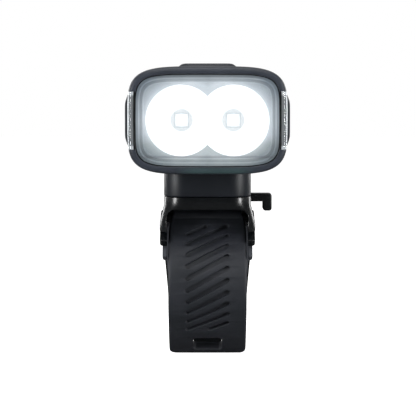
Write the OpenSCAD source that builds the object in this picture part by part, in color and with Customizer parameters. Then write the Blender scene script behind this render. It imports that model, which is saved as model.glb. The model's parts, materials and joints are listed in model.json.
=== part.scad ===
// Bicycle headlight with two lamps, on a strap-on handlebar mount.
// Origin: centre of the handlebar under the saddle. +X is the rider's left, the lamp faces -Y, +Z is up.

/* [Handlebar] */
// Diameter of the handlebar that the saddle fits
bar_d = 31.8; // [25.4:0.1:35]
// Thickness of the rubber saddle pad
pad_t = 1.2; // [0.8:0.1:2]

/* [Cells] */
// Diameter of one cell
cell_d = 18.4; // [18:0.1:19]
// Length of one cell
cell_len = 65; // [60:0.5:70]
// Gap between the two cells
cell_gap = 0.4; // [0.2:0.1:2]
// Room between a cell and the side wall
cell_side_room = 1; // [0.8:0.1:3]
// Room between the cells and the floor
cell_floor_room = 1.5; // [1.3:0.1:4]

/* [Head] */
// Wall of the housing
wall = 2.2; // [1.8:0.1:3]
// Fullness of the head's corners, where 2 is an ellipse
fullness = 4.4; // [3.6:0.1:6]
// Distance from the handlebar's centre forward to the bezel's front
front_reach = 44; // [40:0.5:50]
// Length of the front bezel
bezel_len = 8.5; // [8:0.1:12]
// Wall of the front bezel
bezel_wall = 1.4; // [1:0.1:1.6]
// Thickness of the bezel's lip over the lens
lip_t = 0.9; // [0.6:0.1:1.5]
// Overlap of the lip over the lens
lip_w = 0.8; // [0.6:0.1:2]
// Length of the rear cap behind the housing
cap_len = 6; // [5.5:0.1:10]
// Height of the clear side windows
window_h = 15.6; // [8:0.1:16]
// How far a side grip stands proud
grip_proud = 0.9; // [0.4:0.1:1.5]
// Length of a side grip
grip_len = 50; // [30:1:60]

/* [Light] */
// Thickness of the clear lens
lens_t = 1.6; // [1.2:0.1:2.5]
// Thickness of the lens gasket
gasket_t = 0.8; // [0.5:0.1:1.5]
// Radius of one reflector bowl at its mouth
bowl_r = 9.7; // [8:0.1:10.2]
// Distance between the centres of the two bowls
bowl_pitch = 14.3; // [13:0.1:15]
// Focal length of a bowl
bowl_focus = 2.4; // [2.2:0.05:3]
// Radius of the opening at the foot of a bowl
bowl_hole_r = 3.1; // [3.05:0.05:3.6]
// Depth of the stepped frame in front of the bowls
frame_depth = 1.6; // [1:0.1:2.2]
// Side of one square emitter
led_side = 4.2; // [3:0.1:4.2]
// Thickness of the emitter board
led_board_t = 1.6; // [1:0.1:2]
// Thickness of the heat sink's plate
sink_t = 2.4; // [2:0.1:3]
// Length of the heat sink's fins
fin_len = 3.4; // [2:0.1:3.5]

/* [Electronics] */
// Thickness of the control board
pcb_t = 1.2; // [0.8:0.1:1.6]
// Width of the control board
pcb_w = 22; // [18:0.2:22.6]
// Gap between the cells and the control board
pcb_gap = 0.5; // [0.5:0.1:3]

/* [Button] */
// Width of the button at its foot
button_w = 17.4; // [12:0.2:18]
// Length of the button at its foot
button_len = 18; // [14:0.2:20]
// How far the button's flank leans in on each side
button_lean = 1.5; // [0.5:0.1:2.5]
// How far the button stands proud of the housing
button_proud = 1.3; // [0.8:0.1:2.5]
// Distance from the handlebar's centre forward to the button's middle
button_reach = 10; // [6:0.5:12]
// Travel of the button
button_travel = 0.6; // [0.3:0.1:0.7]

/* [Foot and rail] */
// Width of the foot and of the mount's top
foot_w = 25; // [24:0.2:28]
// Length of the foot and of the mount's top
foot_len = 40; // [38:0.5:46]
// Height of the foot between the mount and its seat in the housing
foot_h = 8; // [7.5:0.1:12]
// Radius of the foot's upright corners
foot_corner = 6; // [3:0.1:8]
// Thickness of the foot's closed front wall
foot_front_wall = 4; // [3:0.1:6]
// Width of the rail's web
rail_web_w = 10; // [8:0.1:11]
// Width of the rail's head
rail_head_w = 15; // [13.5:0.1:17]
// Height of the rail's web
rail_web_h = 2.3; // [2:0.1:2.6]
// Height of the rail's head
rail_head_h = 1.8; // [1.4:0.1:2]

/* [Mount] */
// Height from the saddle's crown to the seam under the foot
deck_h = 7.65; // [6.6:0.05:10]
// Thickness of the deck plate that carries the rail
plate_t = 2.1; // [1.8:0.1:2.3]
// Width of the mount at the saddle
saddle_w = 27.7; // [26.4:0.1:32]
// Thickness of the fingers and of the rear claw
band_t = 2.6; // [2:0.1:3.2]
// Angle at which the front fingers end, from the top
finger_angle = 53; // [46:1:55]
// Angle at which the rear claw ends, from the top
claw_angle = 119; // [105:1:125]
// Height of the arch in the mount's front, below the seam
arch_drop = 3.8; // [3.6:0.1:5]
// Angle at which the claw's tongue ends, from the top
tongue_angle = 163; // [150:1:168]
// Width of the tongue that carries the hook
tongue_w = 13; // [9:0.1:16]
// Width of the hook on the tongue
hook_w = 7.6; // [5:0.1:8]
// How far the hook stands out from the claw
hook_reach = 4.2; // [2.5:0.1:5]

/* [Release lever] */
// Thickness of the lever's arm
lever_t = 2.4; // [1.8:0.1:2.8]
// Width of the lever along the bar's fore-and-aft line
lever_w = 6; // [4:0.1:6.4]
// Distance from the middle of the mount to the lever's tip
lever_reach = 19.4; // [17:0.1:24]
// Width of the thumb pad at the lever's tip
thumb_w = 2.7; // [2:0.1:4]
// Length of the thumb pad below the arm
thumb_drop = 2.8; // [1:0.1:3]
// Diameter of the lever's pivot pin
lever_pin_d = 2; // [1.4:0.1:2]
// Thickness of the catch spring
catch_t = 0.4; // [0.3:0.05:0.5]
// How far the catch spring stands up into the foot
catch_rise = 1.2; // [0.8:0.1:1.3]

/* [Strap] */
// Width of the strap
strap_w = 22.6; // [16:0.2:22.8]
// Thickness of the strap
strap_t = 2.6; // [2:0.1:3.2]
// Angle from the top at which the strap's tail leaves the bar
tail_angle = 131; // [125:1:136]
// Length of the tail
tail_len = 15.4; // [11:0.1:16]
// Radius of the tail's gentler curve
tail_r = 60; // [35:1:90]
// Diameter of the pin that the strap turns on
strap_pin_d = 2; // [1.6:0.1:2.2]
// Number of full grooves across the strap
groove_count = 9; // [3:1:9]
// Width of the grooved field
groove_field = 12.6; // [8:0.2:16]
// Width of one groove
groove_w = 1.45; // [1:0.05:1.8]
// Depth of a groove
groove_depth = 0.9; // [0.4:0.1:1.2]
// Slope of a groove across the strap
groove_slope = 29.5; // [15:0.5:35]
// Angle between two grooves, about the bar
groove_pitch = 10.7; // [9:0.1:11]
// Width of the eye in the tail
eye_w = 8.6; // [8.2:0.1:12]
// Length of the eye
eye_len = 6.5; // [4.5:0.1:7]
// Width of the rung that closes the eye
rung_w = 2.6; // [1.5:0.1:3]

/* [Hidden] */

$fn = 48;
// Points round the head's outline
outline_steps = 48;
// Clearance between pieces that are fixed together
fit = 0.05;
// Clearance between pieces that are pushed together by hand
loose = 0.15;
// Clearance of the sliding rail
slide_fit = 0.2;
// Radial clearance of a pin in a piece that turns on it
run_fit = 0.05;
// Radial clearance of a pin or screw in the piece that holds it
hold_fit = 0.02;
// Overshoot of a cutting tool
over = 1;
// Bevel on the edges of the head's seams
edge = 0.3;

// Saddle, seam and foot, stacked up from the handlebar
bar_r = bar_d / 2;
saddle_r = bar_r + pad_t + fit;
band_r = saddle_r + band_t;
seam_z = saddle_r + deck_h;
seam_gap = 0.1;
foot_z0 = seam_z + seam_gap;
foot_z1 = foot_z0 + foot_h;
foot_sink = 0.8;

// Button stack between the control board and the housing's top
button_y = -button_reach;
button_corner = 4.2;
button_flange_t = 0.8;
button_flange_w = 1.2;
button_slack = 0.5;
switch_side = 6;
switch_h = 1.4;
switch_floor = 0.4;
switch_gap = 0.1;
plunger_r = 1.2;
pipe_r = 1.4;
pipe_y = button_y - button_len / 4;
pcb_headroom = switch_h + switch_gap + button_travel + button_flange_t + button_slack;

// Head section, set by the two cells and the control board above them
head_a = cell_d + cell_gap / 2 + cell_side_room + wall;
head_b = (cell_floor_room + cell_d + pcb_gap + pcb_t + pcb_headroom) / 2 + wall;
head_z = foot_z1 - foot_sink + head_b;
head_top = head_z + head_b;
head_floor = head_z - head_b;
cell_x = (cell_d + cell_gap) / 2;
cell_z = head_floor + wall + cell_floor_room + cell_d / 2;
pcb_z0 = cell_z + cell_d / 2 + pcb_gap;
pcb_z1 = pcb_z0 + pcb_t;
button_skirt_z = head_top - wall - button_slack;
button_foot_z = button_skirt_z - button_flange_t;

// Light stack, front to back
front_y = -front_reach;
bezel_rear_y = front_y + bezel_len;
lens_y0 = front_y + lip_t;
lens_y1 = lens_y0 + lens_t;
gasket_y1 = lens_y1 + gasket_t;
flange_t = 1.7;
flange_y1 = gasket_y1 + flange_t;
bowl_y = gasket_y1 + frame_depth;
bowl_foot = 0.4;
// Depth of a parabola of the bowl's focal length at a given radius
function bowl_depth(r) = r * r / (4 * bowl_focus);
bowl_len = bowl_depth(bowl_r) - bowl_depth(bowl_hole_r);
reflector_y1 = bowl_y + bowl_len + bowl_foot;
board_y1 = reflector_y1 + led_board_t;
sink_y1 = board_y1 + sink_t;
ledge_t = 1.8;
ledge_y1 = sink_y1 + ledge_t;
fin_y1 = sink_y1 + fin_len;

// Insets of the head's walls from its outline
tighter = 0.45;
nose_wall = 0.85;
ledge_w = 1.2;
spigot_inset = bezel_wall + loose;
bore_inset = spigot_inset + nose_wall;
ledge_inset = bore_inset + ledge_w;
lip_inset = bezel_wall + lip_w;
core_inset = bezel_wall / 2;
core_y = lens_y0 + lens_t / 3;
// Rounded front of the bezel, as [distance behind the front, inset]
bezel_face = [[0, 1.2], [0.6, 0.55], [1.8, 0.25], [4.5, 0.05]];
rear_inset = 0.7;
// Half outline of a side grip, as [height from its middle, share of its full stand]
grip_crown = [[0, 1], [3, 0.98], [4.8, 0.86], [6.2, 0.5], [7.4, 0], [9.6, -1.6]];

// Cells and rear cap, behind the heat sink
lead_r = 0.7;
lead_gap = 0.4;
lead_x = 3;
lead_overlap = 3;
tab_t = 0.3;
lead_y = fin_y1 + lead_gap + lead_r;
cell_y0 = lead_y + lead_r + tab_t;
cell_y1 = cell_y0 + cell_len;
cell_end_room = 0.7;
cap_spigot = 3;
cap_y0 = cell_y1 + tab_t + cell_end_room;
rear_seam_y = cap_y0 + cap_spigot;
cap_y1 = rear_seam_y + cap_len;
holder_t = 3;
holder_inset = 4;

// Screws of the rear cap, with their bosses in the housing
case_screw_d = 2.5;
case_head_d = 4.2;
cap_screw_sink = 0.8;
boss_len = 4.8;
boss_floor = 1;
boss_r = case_screw_d / 2 + 1.4;
boss_y1 = cap_y0 - loose;
boss_y0 = boss_y1 - boss_len;
cap_screw_len = cap_y1 - cap_screw_sink - boss_y0 - boss_floor;
cap_screw_in = 4.8;
cap_screw_drop = 3.5;
cap_screw_lift = 2.9;
cap_screw_x = head_a - wall - cap_screw_in;
cap_screw_top = head_top - wall - cap_screw_drop;
cap_screw_low = head_floor + wall + cap_screw_lift;
cap_screw_places = [[-cap_screw_x, cap_screw_top], [cap_screw_x, cap_screw_top], [0, cap_screw_low]];

// Screws of the emitter board and of the deck plate
small_screw_d = 2;
small_head_d = 3.8;
board_head_h = 1.2;
board_screw_rise = 8.6;

// Rounded back of the rear cap, as [distance before the back, inset]
cap_round = [[3, 0.25], [1.8, 0.7], [0.8, 1.5], [0, 3]];

// Socket and its cover
socket_w = 8.94;
socket_h = 3.16;
socket_wall = 0.3;
socket_floor = 1.2;
socket_corner = 1.4;
socket_len = 6.8;
cover_w = 13.6;
cover_h = 7;
cover_t = 1.2;
cover_corner = 1.4;
cover_sink = 0.1;
cover_recess = 1.6;
socket_z = pcb_z0 - socket_h / 2;
socket_y1 = cap_y1 - cover_recess;
socket_y0 = socket_y1 - socket_len;
pcb_setback = 1.4;
pcb_y0 = lead_y - lead_r - 0.3;
pcb_y1 = socket_y1 - pcb_setback;
cover_barrel_r = 0.9;
cover_pivot_r = 0.6;
cover_pivot_len = 0.9;
cover_axis_y = cap_y1 - cover_barrel_r;
cover_axis_z = socket_z - cover_h / 2 - 0.5;

// Deck of the mount, with the rail
plate_z0 = seam_z - plate_t;
arch_z = seam_z - arch_drop;
pocket_floor = 1.75;
pocket_z = saddle_r + pocket_floor;
side_wall = 2;
plate_w = foot_w - 2 * side_wall - 2 * fit;
plate_y0 = -foot_len / 2 + 3.5;
plate_y1 = foot_len / 2 - side_wall - fit;
cavity_y1 = -3.4;
pocket_y0 = cavity_y1 + 1;
strap_room = 0.4;
arch_w = strap_w + 2 * strap_room;
arch_corner = 2.4;
rail_stop = 0.3;
slot_y0 = -foot_len / 2 + foot_front_wall + 0.5;
rail_y0 = slot_y0 + rail_stop;
rail_z1 = seam_z + rail_web_h;
rail_z2 = rail_z1 + rail_head_h;
plate_boss_r = 2;
plate_screw_y = plate_y1 - 2.4;
plate_screw_len = seam_z - pocket_z - 0.2;

// Screws that hold the foot to the housing, put in from the rail's slot
foot_screw_d = 3;
foot_head_d = 5.6;
foot_screw_ys = [-8, 12];
foot_screw_z = rail_z2 + slide_fit;
foot_boss_r = foot_screw_d / 2 + 1;
foot_boss_h = 3.4;
foot_screw_len = head_floor + wall + 2.2 - foot_screw_z;

// Lever and catch spring
lever_room = 0.35;
lever_y1 = plate_screw_y - plate_boss_r - lever_room;
lever_y0 = lever_y1 - lever_w;
lever_z1 = seam_z - 0.5;
lever_z0 = lever_z1 - lever_t;
lever_hub_r = lever_pin_d / 2 + 0.9;
lever_axis_x = -2;
lever_axis_z = lever_z0 - 0.75;
lever_boss_w = 4;
lever_boss_y0 = lever_y0 - lever_room - 2.3;
lever_pin_y0 = lever_boss_y0 + 0.2;
lever_pin_y1 = foot_len / 2 - 0.4;
catch_w = 4;
catch_x = plate_w / 2 - catch_w / 2 - fit;
catch_z1 = lever_z0 - slide_fit;
catch_z0 = catch_z1 - catch_t;
catch_peak_y = 1.2;
catch_half = 2.6;
catch_crest = 0.5;
catch_tip_y = catch_peak_y - catch_half - 0.6;
catch_y1 = plate_y1 - 0.2;

// Strap on its pin
strap_bar_gap = 0.1;
strap_r0 = bar_r + strap_bar_gap;
strap_r1 = strap_r0 + strap_t;
bead_r = strap_pin_d / 2 + 1.4;
root_angle = 20;
bead_lift = 0.8;
root_r = strap_r0 + bead_r + bead_lift;
root_y = -root_r * sin(root_angle);
root_z = root_r * cos(root_angle);
wrap_angle = root_angle + 5;
strap_edge = 0.8;
swell_to = root_angle + 22;
swell_sink = 0.15;
tail_deg = tail_len / tail_r * 180 / PI;
eye_corner = 1.2;
tail_corner = 1.9;
first_groove = 43.7;
groove_from = root_angle + asin(bead_r / root_r) + 1;
groove_to = tail_angle + 14;
strap_pin_len = saddle_w - 1;

// Power of a signed number
function signed_pow(v, p) = sign(v) * pow(abs(v), p);
// Points of the head's outline, drawn in by an inset, with tighter corners the further in it lies
function outline(inset) = [for (i = [0 : outline_steps - 1])
    let (t = 360 * i / outline_steps, a = head_a - inset, b = head_b - inset, n = fullness + tighter * inset)
    [a * signed_pow(cos(t), 2 / n), b * signed_pow(sin(t), 2 / n)]];
// Points of a rounded rectangle about the origin
function round_rect(w, h, r) = [for (corner = [0 : 3], step = [0 : 6])
    let (t = 90 * corner + 15 * step, sx = corner == 0 || corner == 3 ? 1 : -1, sy = corner < 2 ? 1 : -1)
    [sx * (w / 2 - r) + r * cos(t), sy * (h / 2 - r) + r * sin(t)]];

// Loft through head outlines at [y, inset] stations; a ring joins its last station to its first
module head_loft(stations, ring = false) {
    n = outline_steps;
    rows = len(stations);
    points = [for (s = stations) for (p = outline(s[1])) [p[0], s[0], head_z + p[1]]];
    sides = [for (i = [0 : rows - (ring ? 1 : 2)]) for (j = [0 : n - 1])
        let (k = (i + 1) % rows, m = (j + 1) % n)
        each [[i * n + j, i * n + m, k * n + m], [i * n + j, k * n + m, k * n + j]]];
    ends = ring ? [] : [[for (j = [n - 1 : -1 : 0]) j], [for (j = [0 : n - 1]) (rows - 1) * n + j]];
    polyhedron(points, concat(sides, ends), convexity = 6);
}

// Straight slice of the head's outline between two stations
module head_slice(inset, y0, y1) {
    along_y(y0, y1, head_z) polygon(outline(inset));
}

// Extrudes an outline drawn in X and Z from y0 to y1
module along_y(y0, y1, z = 0) {
    translate([0, y1, z])
        rotate([90, 0, 0])
            linear_extrude(y1 - y0)
                children();
}

// Extrudes an outline drawn in Y and Z over a width centred on X
module along_x(width) {
    rotate([90, 0, 90])
        translate([0, 0, -width / 2])
            linear_extrude(width)
                children();
}

module upright(w, l, r, z0, z1) {
    translate([0, 0, z0])
        linear_extrude(z1 - z0)
            polygon(round_rect(w, l, r));
}

// Block given by its lowest and highest corners
module block(low, high) {
    translate(low)
        cube(high - low);
}

// Sector of a ring about the bar, from one angle to another, measured from the top towards the front
module bar_sector(r0, r1, angle0, angle1, width) {
    rotate([90, 0, 90])
        rotate([0, 0, 90 + angle0])
            rotate_extrude(angle = angle1 - angle0)
                translate([r0, -width / 2])
                    square([r1 - r0, width]);
}

// Countersunk screw along +Z with its head's top at the origin
module screw(d, head_d, length) {
    head_h = (head_d - d) / 2;
    translate([0, 0, -head_h])
        cylinder(d1 = d, d2 = head_d, h = head_h);
    translate([0, 0, -length])
        cylinder(d = d, h = length - head_h);
}

// Same form as the screw, grown by the clearance that it needs
module screw_hole(d, head_d, length) {
    screw(d + 2 * hold_fit, head_d + 2 * hold_fit, length + over);
    cylinder(d = head_d + 2 * hold_fit, h = over);
}

// Frames of the screws of the rear cap, with their heads' tops at the origin
module at_cap_screws() {
    for (p = cap_screw_places)
        translate([p[0], cap_y1 - cap_screw_sink, p[1]])
            rotate([-90, 0, 0])
                children();
}

module at_foot_screws() {
    for (y = foot_screw_ys)
        translate([0, y, foot_screw_z])
            rotate([180, 0, 0])
                children();
}

module at_board_screws() {
    for (side = [-1, 1])
        translate([0, reflector_y1, head_z + side * board_screw_rise])
            rotate([90, 0, 0])
                children();
}

module main_housing() {
    color("#2c2e30")
    difference() {
        union() {
            head_loft([[flange_y1, spigot_inset], [bezel_rear_y, spigot_inset], [bezel_rear_y, edge],
                       [bezel_rear_y + edge, 0], [0, 0], [rear_seam_y / 2, rear_inset / 3],
                       [rear_seam_y - edge, rear_inset], [rear_seam_y, rear_inset + edge],
                       [rear_seam_y, wall], [ledge_y1, wall], [ledge_y1, ledge_inset],
                       [sink_y1, ledge_inset], [sink_y1, bore_inset], [flange_y1, bore_inset]], ring = true);
            for (side = [-1, 1])
                side_grip(side);
            intersection() {
                head_slice(wall - fit, foot_screw_ys[0] - 2 * foot_boss_r, boss_y1);
                union() {
                    for (place = cap_screw_places)
                        cap_boss(place);
                    for (y = foot_screw_ys)
                        translate([0, y, head_floor])
                            cylinder(r = foot_boss_r, h = wall + foot_boss_h);
                }
            }
        }
        at_cap_screws()
            screw_hole(case_screw_d, case_head_d, cap_screw_len);
        at_foot_screws()
            screw_hole(foot_screw_d, foot_head_d, foot_screw_len);
        upright(foot_w + 2 * fit, foot_len + 2 * fit, foot_corner, foot_z0, foot_z1 + fit);
        translate([0, button_y, head_z])
            upright(button_w + 2 * loose, button_len + 2 * loose, button_corner, 0, head_b + over);
    }
}

// Boss for a screw of the rear cap, with a web to the nearest wall above or below it
module cap_boss(place) {
    wall_z = place[1] > head_z ? head_top : head_floor;
    along_y(boss_y0, boss_y1)
        union() {
            translate(place)
                circle(r = boss_r);
            translate([place[0] - boss_r / 2, min(place[1], wall_z)])
                square([boss_r, abs(wall_z - place[1])]);
        }
}

// Long low rib on the side of the head, for the fingers, that fades out towards the rear
module side_grip(side) {
    ramp = 1.5;
    hold = 18;
    root = head_a - 0.8 * wall;
    skin = head_a - edge;
    reach = head_a + grip_proud;
    grip_y0 = bezel_rear_y + edge + fit;
    top = len(grip_crown) - 1;
    mirror([side > 0 ? 0 : 1, 0, 0])
        intersection() {
            along_y(grip_y0, grip_y0 + grip_len, head_z)
                polygon(concat([[root, -grip_crown[top][0]]],
                               [for (i = [top : -1 : 0]) [head_a + grip_proud * grip_crown[i][1], -grip_crown[i][0]]],
                               [for (i = [1 : top]) [head_a + grip_proud * grip_crown[i][1], grip_crown[i][0]]],
                               [[root, grip_crown[top][0]]]));
            translate([0, 0, head_floor])
                linear_extrude(2 * head_b)
                    polygon([[root - over, grip_y0 - over], [skin - over, grip_y0 - over], [reach, grip_y0 + ramp],
                             [reach, grip_y0 + ramp + hold], [skin, grip_y0 + grip_len],
                             [root - over, grip_y0 + grip_len]]);
        }
}

// Stations of the bezel's outer skin, moved in by a gap
function bezel_skin(gap) = concat([for (s = bezel_face) [front_y + s[0] + gap, s[1] + gap]],
                                  [[bezel_rear_y - edge, gap]]);

module front_bezel() {
    color("#303234")
    difference() {
        head_loft(concat(bezel_skin(0), [[bezel_rear_y, edge], [bezel_rear_y, bezel_wall], [lens_y0, bezel_wall],
                                         [lens_y0, lip_inset], [front_y + edge, lip_inset],
                                         [front_y, lip_inset - edge]]), ring = true);
        intersection() {
            window_zone(0);
            head_loft([[front_y - over, -over], [bezel_rear_y + over, -over], [bezel_rear_y + over, core_inset],
                       [core_y, core_inset], [core_y, lip_inset + over], [front_y - over, lip_inset + over]],
                      ring = true);
        }
    }
}

// Room of the two side windows, from the bezel's front to its rear edge, drawn in by a clearance
module window_zone(gap) {
    depth = lip_inset + 2 * over;
    for (side = [-1, 1])
        translate([side * (head_a + over - depth / 2), 0, head_z])
            along_y(front_y - over, bezel_rear_y + over)
                polygon(round_rect(depth, window_h - 2 * gap, over));
}

module front_lens() {
    wing_inset = core_inset - fit;
    wing_y1 = bezel_rear_y - edge - fit;
    color("#dfe6ea", 0.45)
    union() {
        head_slice(bezel_wall + loose, lens_y0, lens_y1);
        intersection() {
            head_loft(concat(bezel_skin(fit), [[wing_y1, wing_inset], [core_y - fit, wing_inset],
                                               [core_y - fit, lip_inset - fit], [front_y + fit, lip_inset - fit]]),
                      ring = true);
            window_zone(fit);
        }
    }
}

module lens_gasket() {
    color("#1b1c1d")
    difference() {
        head_slice(bezel_wall + loose, lens_y1, gasket_y1);
        head_slice(lip_inset + 0.2, lens_y1 - over, gasket_y1 + over);
    }
}

module twin_reflector() {
    frame_step = 1.1;
    color("#d8dbde")
    difference() {
        union() {
            head_slice(bezel_wall + loose, gasket_y1, flange_y1);
            head_slice(bore_inset + loose, flange_y1, reflector_y1);
        }
        head_slice(lip_inset + frame_step, gasket_y1 - over, gasket_y1 + frame_depth / 2);
        head_slice(lip_inset + 2 * frame_step, gasket_y1 - over, bowl_y);
        for (side = [-1, 1])
            translate([side * bowl_pitch / 2, 0, head_z])
                rotate([90, 0, 0])
                    rotate_extrude()
                        bowl_profile();
        at_board_screws()
            translate([0, 0, -over])
                cylinder(d = small_head_d + 4 * loose, h = board_head_h + 2 * loose + over);
    }
}

// Half outline of a bowl, from its opening at the foot up to its mouth
module bowl_profile() {
    steps = 12;
    foot = -reflector_y1;
    rows = [for (i = [0 : steps])
        let (r = bowl_hole_r + (bowl_r - bowl_hole_r) * i / steps)
        [r, foot + bowl_foot + bowl_depth(r) - bowl_depth(bowl_hole_r)]];
    mouth = over - bowl_y;
    polygon(concat([[0, foot - over], [bowl_hole_r, foot - over]], rows, [[bowl_r, mouth], [0, mouth]]));
}

module led_emitters() {
    base_t = 0.7;
    dome_d = led_side - 0.4;
    color("#e8e2a8")
    for (side = [-1, 1])
        translate([side * bowl_pitch / 2, reflector_y1, head_z])
            rotate([90, 0, 0])
                union() {
                    translate([-led_side / 2, -led_side / 2, 0])
                        cube([led_side, led_side, base_t]);
                    translate([0, 0, base_t - fit])
                        intersection() {
                            sphere(d = dome_d);
                            cylinder(d = led_side, h = led_side);
                        }
                }
}

module led_board() {
    color("#e9ecee")
    difference() {
        head_slice(bore_inset + loose, reflector_y1, board_y1);
        at_board_screws()
            translate([0, 0, -led_board_t - over])
                cylinder(d = small_screw_d + 2 * hold_fit, h = led_board_t + 2 * over);
    }
}

module heat_sink() {
    fins = 7;
    fin_t = 1.2;
    fin_pitch = 4.4;
    fin_h = 14;
    color("#a9adb1")
    difference() {
        union() {
            head_slice(bore_inset + loose, board_y1, sink_y1);
            for (i = [0 : fins - 1])
                translate([(i - (fins - 1) / 2) * fin_pitch - fin_t / 2, sink_y1 - fit, head_z - fin_h / 2])
                    cube([fin_t, fin_len + fit, fin_h]);
        }
        at_board_screws()
            translate([0, 0, -led_board_t - sink_t - over])
                cylinder(d = small_screw_d + 2 * hold_fit, h = sink_t + 2 * over);
        at_led_leads()
            cylinder(r = lead_r + loose, h = pcb_y0 - reflector_y1 + over);
    }
}

module board_screws() {
    color("#8d9094")
    at_board_screws()
        union() {
            cylinder(d = small_head_d, h = board_head_h);
            translate([0, 0, fit - led_board_t - sink_t])
                cylinder(d = small_screw_d, h = led_board_t + sink_t);
        }
}

// Two leads from the control board's top through the heat sink to the emitter board
module at_led_leads() {
    for (side = [-1, 1])
        translate([side * lead_x, board_y1, pcb_z1 + lead_r])
            rotate([-90, 0, 0])
                children();
}

module led_leads() {
    color("#b22222")
    at_led_leads()
        cylinder(r = lead_r, h = pcb_y0 + lead_overlap - board_y1);
}

module battery_cells() {
    color("#3f6fa8")
    for (side = [-1, 1])
        translate([side * cell_x, cell_y0, cell_z])
            rotate([-90, 0, 0])
                cylinder(d = cell_d, h = cell_len);
}

module cell_holders() {
    color("#202224")
    for (y = [cell_y0 + holder_inset, cell_y1 - holder_inset - holder_t])
        difference() {
            head_slice(wall + loose, y, y + holder_t);
            translate([-head_a, y - over, pcb_z0])
                cube([2 * head_a, holder_t + 2 * over, head_b]);
            for (side = [-1, 1])
                translate([side * cell_x, y - over, cell_z])
                    rotate([-90, 0, 0])
                        cylinder(d = cell_d + 2 * fit, h = holder_t + 2 * over);
        }
}

module cell_tabs() {
    tab_w = 7;
    color("#c4c7ca")
    union() {
        for (side = [-1, 1])
            translate([side * cell_x - tab_w / 2, cell_y0 - tab_t, cell_z - tab_w / 2])
                cube([tab_w, tab_t, tab_w]);
        translate([-cell_x - tab_w / 2, cell_y1, cell_z - tab_w / 2])
            cube([2 * cell_x + tab_w, tab_t, tab_w]);
    }
}

module battery_leads() {
    color("#a02020")
    for (side = [-1, 1])
        translate([side * cell_x, lead_y, cell_z])
            cylinder(r = lead_r, h = pcb_z0 - cell_z);
}

module control_board() {
    chip_h = 1.6;
    color("#1f6b45")
    union() {
        block([-pcb_w / 2, pcb_y0, pcb_z0], [pcb_w / 2, pcb_y1, pcb_z1]);
        for (chip = [[-6, 8, 5, 5], [5, 10, 7, 7], [-2, 24, 6, 9]])
            translate([chip[0] - chip[2] / 2, chip[1], pcb_z1 - fit])
                cube([chip[2], chip[3], chip_h + fit]);
    }
}

module tact_switch() {
    color("#3a3c3e")
    difference() {
        block([-switch_side / 2, button_y - switch_side / 2, pcb_z1],
              [switch_side / 2, button_y + switch_side / 2, pcb_z1 + switch_h]);
        translate([0, button_y, pcb_z1 + switch_floor])
            cylinder(r = plunger_r + run_fit, h = switch_h);
    }
}

module switch_plunger() {
    plunger_z0 = pcb_z1 + switch_h - switch_gap;
    color("#8a2b2b")
    translate([0, button_y, plunger_z0])
        cylinder(r = plunger_r, h = button_foot_z - plunger_z0);
}

module usb_socket() {
    contact_w = 6.7;
    contact_t = 0.7;
    contact_setback = 2.2;
    color("#b9bcc0")
    union() {
        difference() {
            along_y(socket_y0, socket_y1, socket_z)
                polygon(round_rect(socket_w, socket_h, socket_corner));
            along_y(socket_y0 + socket_floor, socket_y1 + over, socket_z)
                polygon(round_rect(socket_w - 2 * socket_wall, socket_h - 2 * socket_wall,
                                   socket_corner - socket_wall));
        }
        block([-contact_w / 2, socket_y0 + socket_floor - 2 * fit, socket_z - contact_t / 2],
              [contact_w / 2, socket_y1 - contact_setback, socket_z + contact_t / 2]);
    }
}

module rear_cap() {
    spigot = wall + loose;
    color("#2c2e30")
    difference() {
        head_loft([[cap_y0, spigot], [rear_seam_y + fit, spigot], [rear_seam_y + fit, rear_inset + edge],
                   [rear_seam_y + edge, rear_inset],
                   each [for (s = cap_round) [cap_y1 - s[0], rear_inset + s[1]]]]);
        at_cap_screws()
            screw_hole(case_screw_d, case_head_d, cap_screw_len);
        seal_groove(0);
        block([-pcb_w / 2 - loose, cap_y0 - over, socket_z - socket_h / 2 - loose],
              [pcb_w / 2 + loose, pcb_y1 + loose, pcb_z1 + 4 * loose]);
        along_y(cap_y0 - over, cap_y1 + over, socket_z)
            polygon(round_rect(socket_w + 2 * fit, socket_h + 2 * fit, socket_corner + fit));
        along_y(socket_y1, cap_y1 + over, socket_z)
            polygon(round_rect(cover_w + 2 * loose, cover_h + 2 * loose, cover_corner + loose));
        block([-cover_w / 2 - loose, cover_axis_y - cover_barrel_r - loose,
               cover_axis_z - cover_barrel_r - 2 * loose],
              [cover_w / 2 + loose, cap_y1 + over, socket_z]);
        cover_pivot(run_fit);
    }
}

// Groove round the cap's spigot, and the seal that fills it, shrunk by a clearance
module seal_groove(gap) {
    seal_w = 1.3;
    seal_deep = 0.9;
    y0 = cap_y0 + (cap_spigot - seal_w) / 2;
    difference() {
        head_slice(wall + fit, y0 + gap, y0 + seal_w - gap);
        head_slice(wall + loose + seal_deep - gap, y0 - over, y0 + seal_w + over);
    }
}

module rear_seal() {
    color("#151617")
    seal_groove(fit);
}

module cap_screws() {
    color("#6f7276")
    at_cap_screws()
        screw(case_screw_d, case_head_d, cap_screw_len);
}

// Pivots at the two ends of the cover's barrel, grown by a clearance for their holes
module cover_pivot(gap) {
    translate([0, cover_axis_y, cover_axis_z])
        rotate([0, 90, 0])
            cylinder(r = cover_pivot_r + gap, h = cover_w + 2 * (loose + cover_pivot_len + gap),
                     center = true);
}

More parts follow.
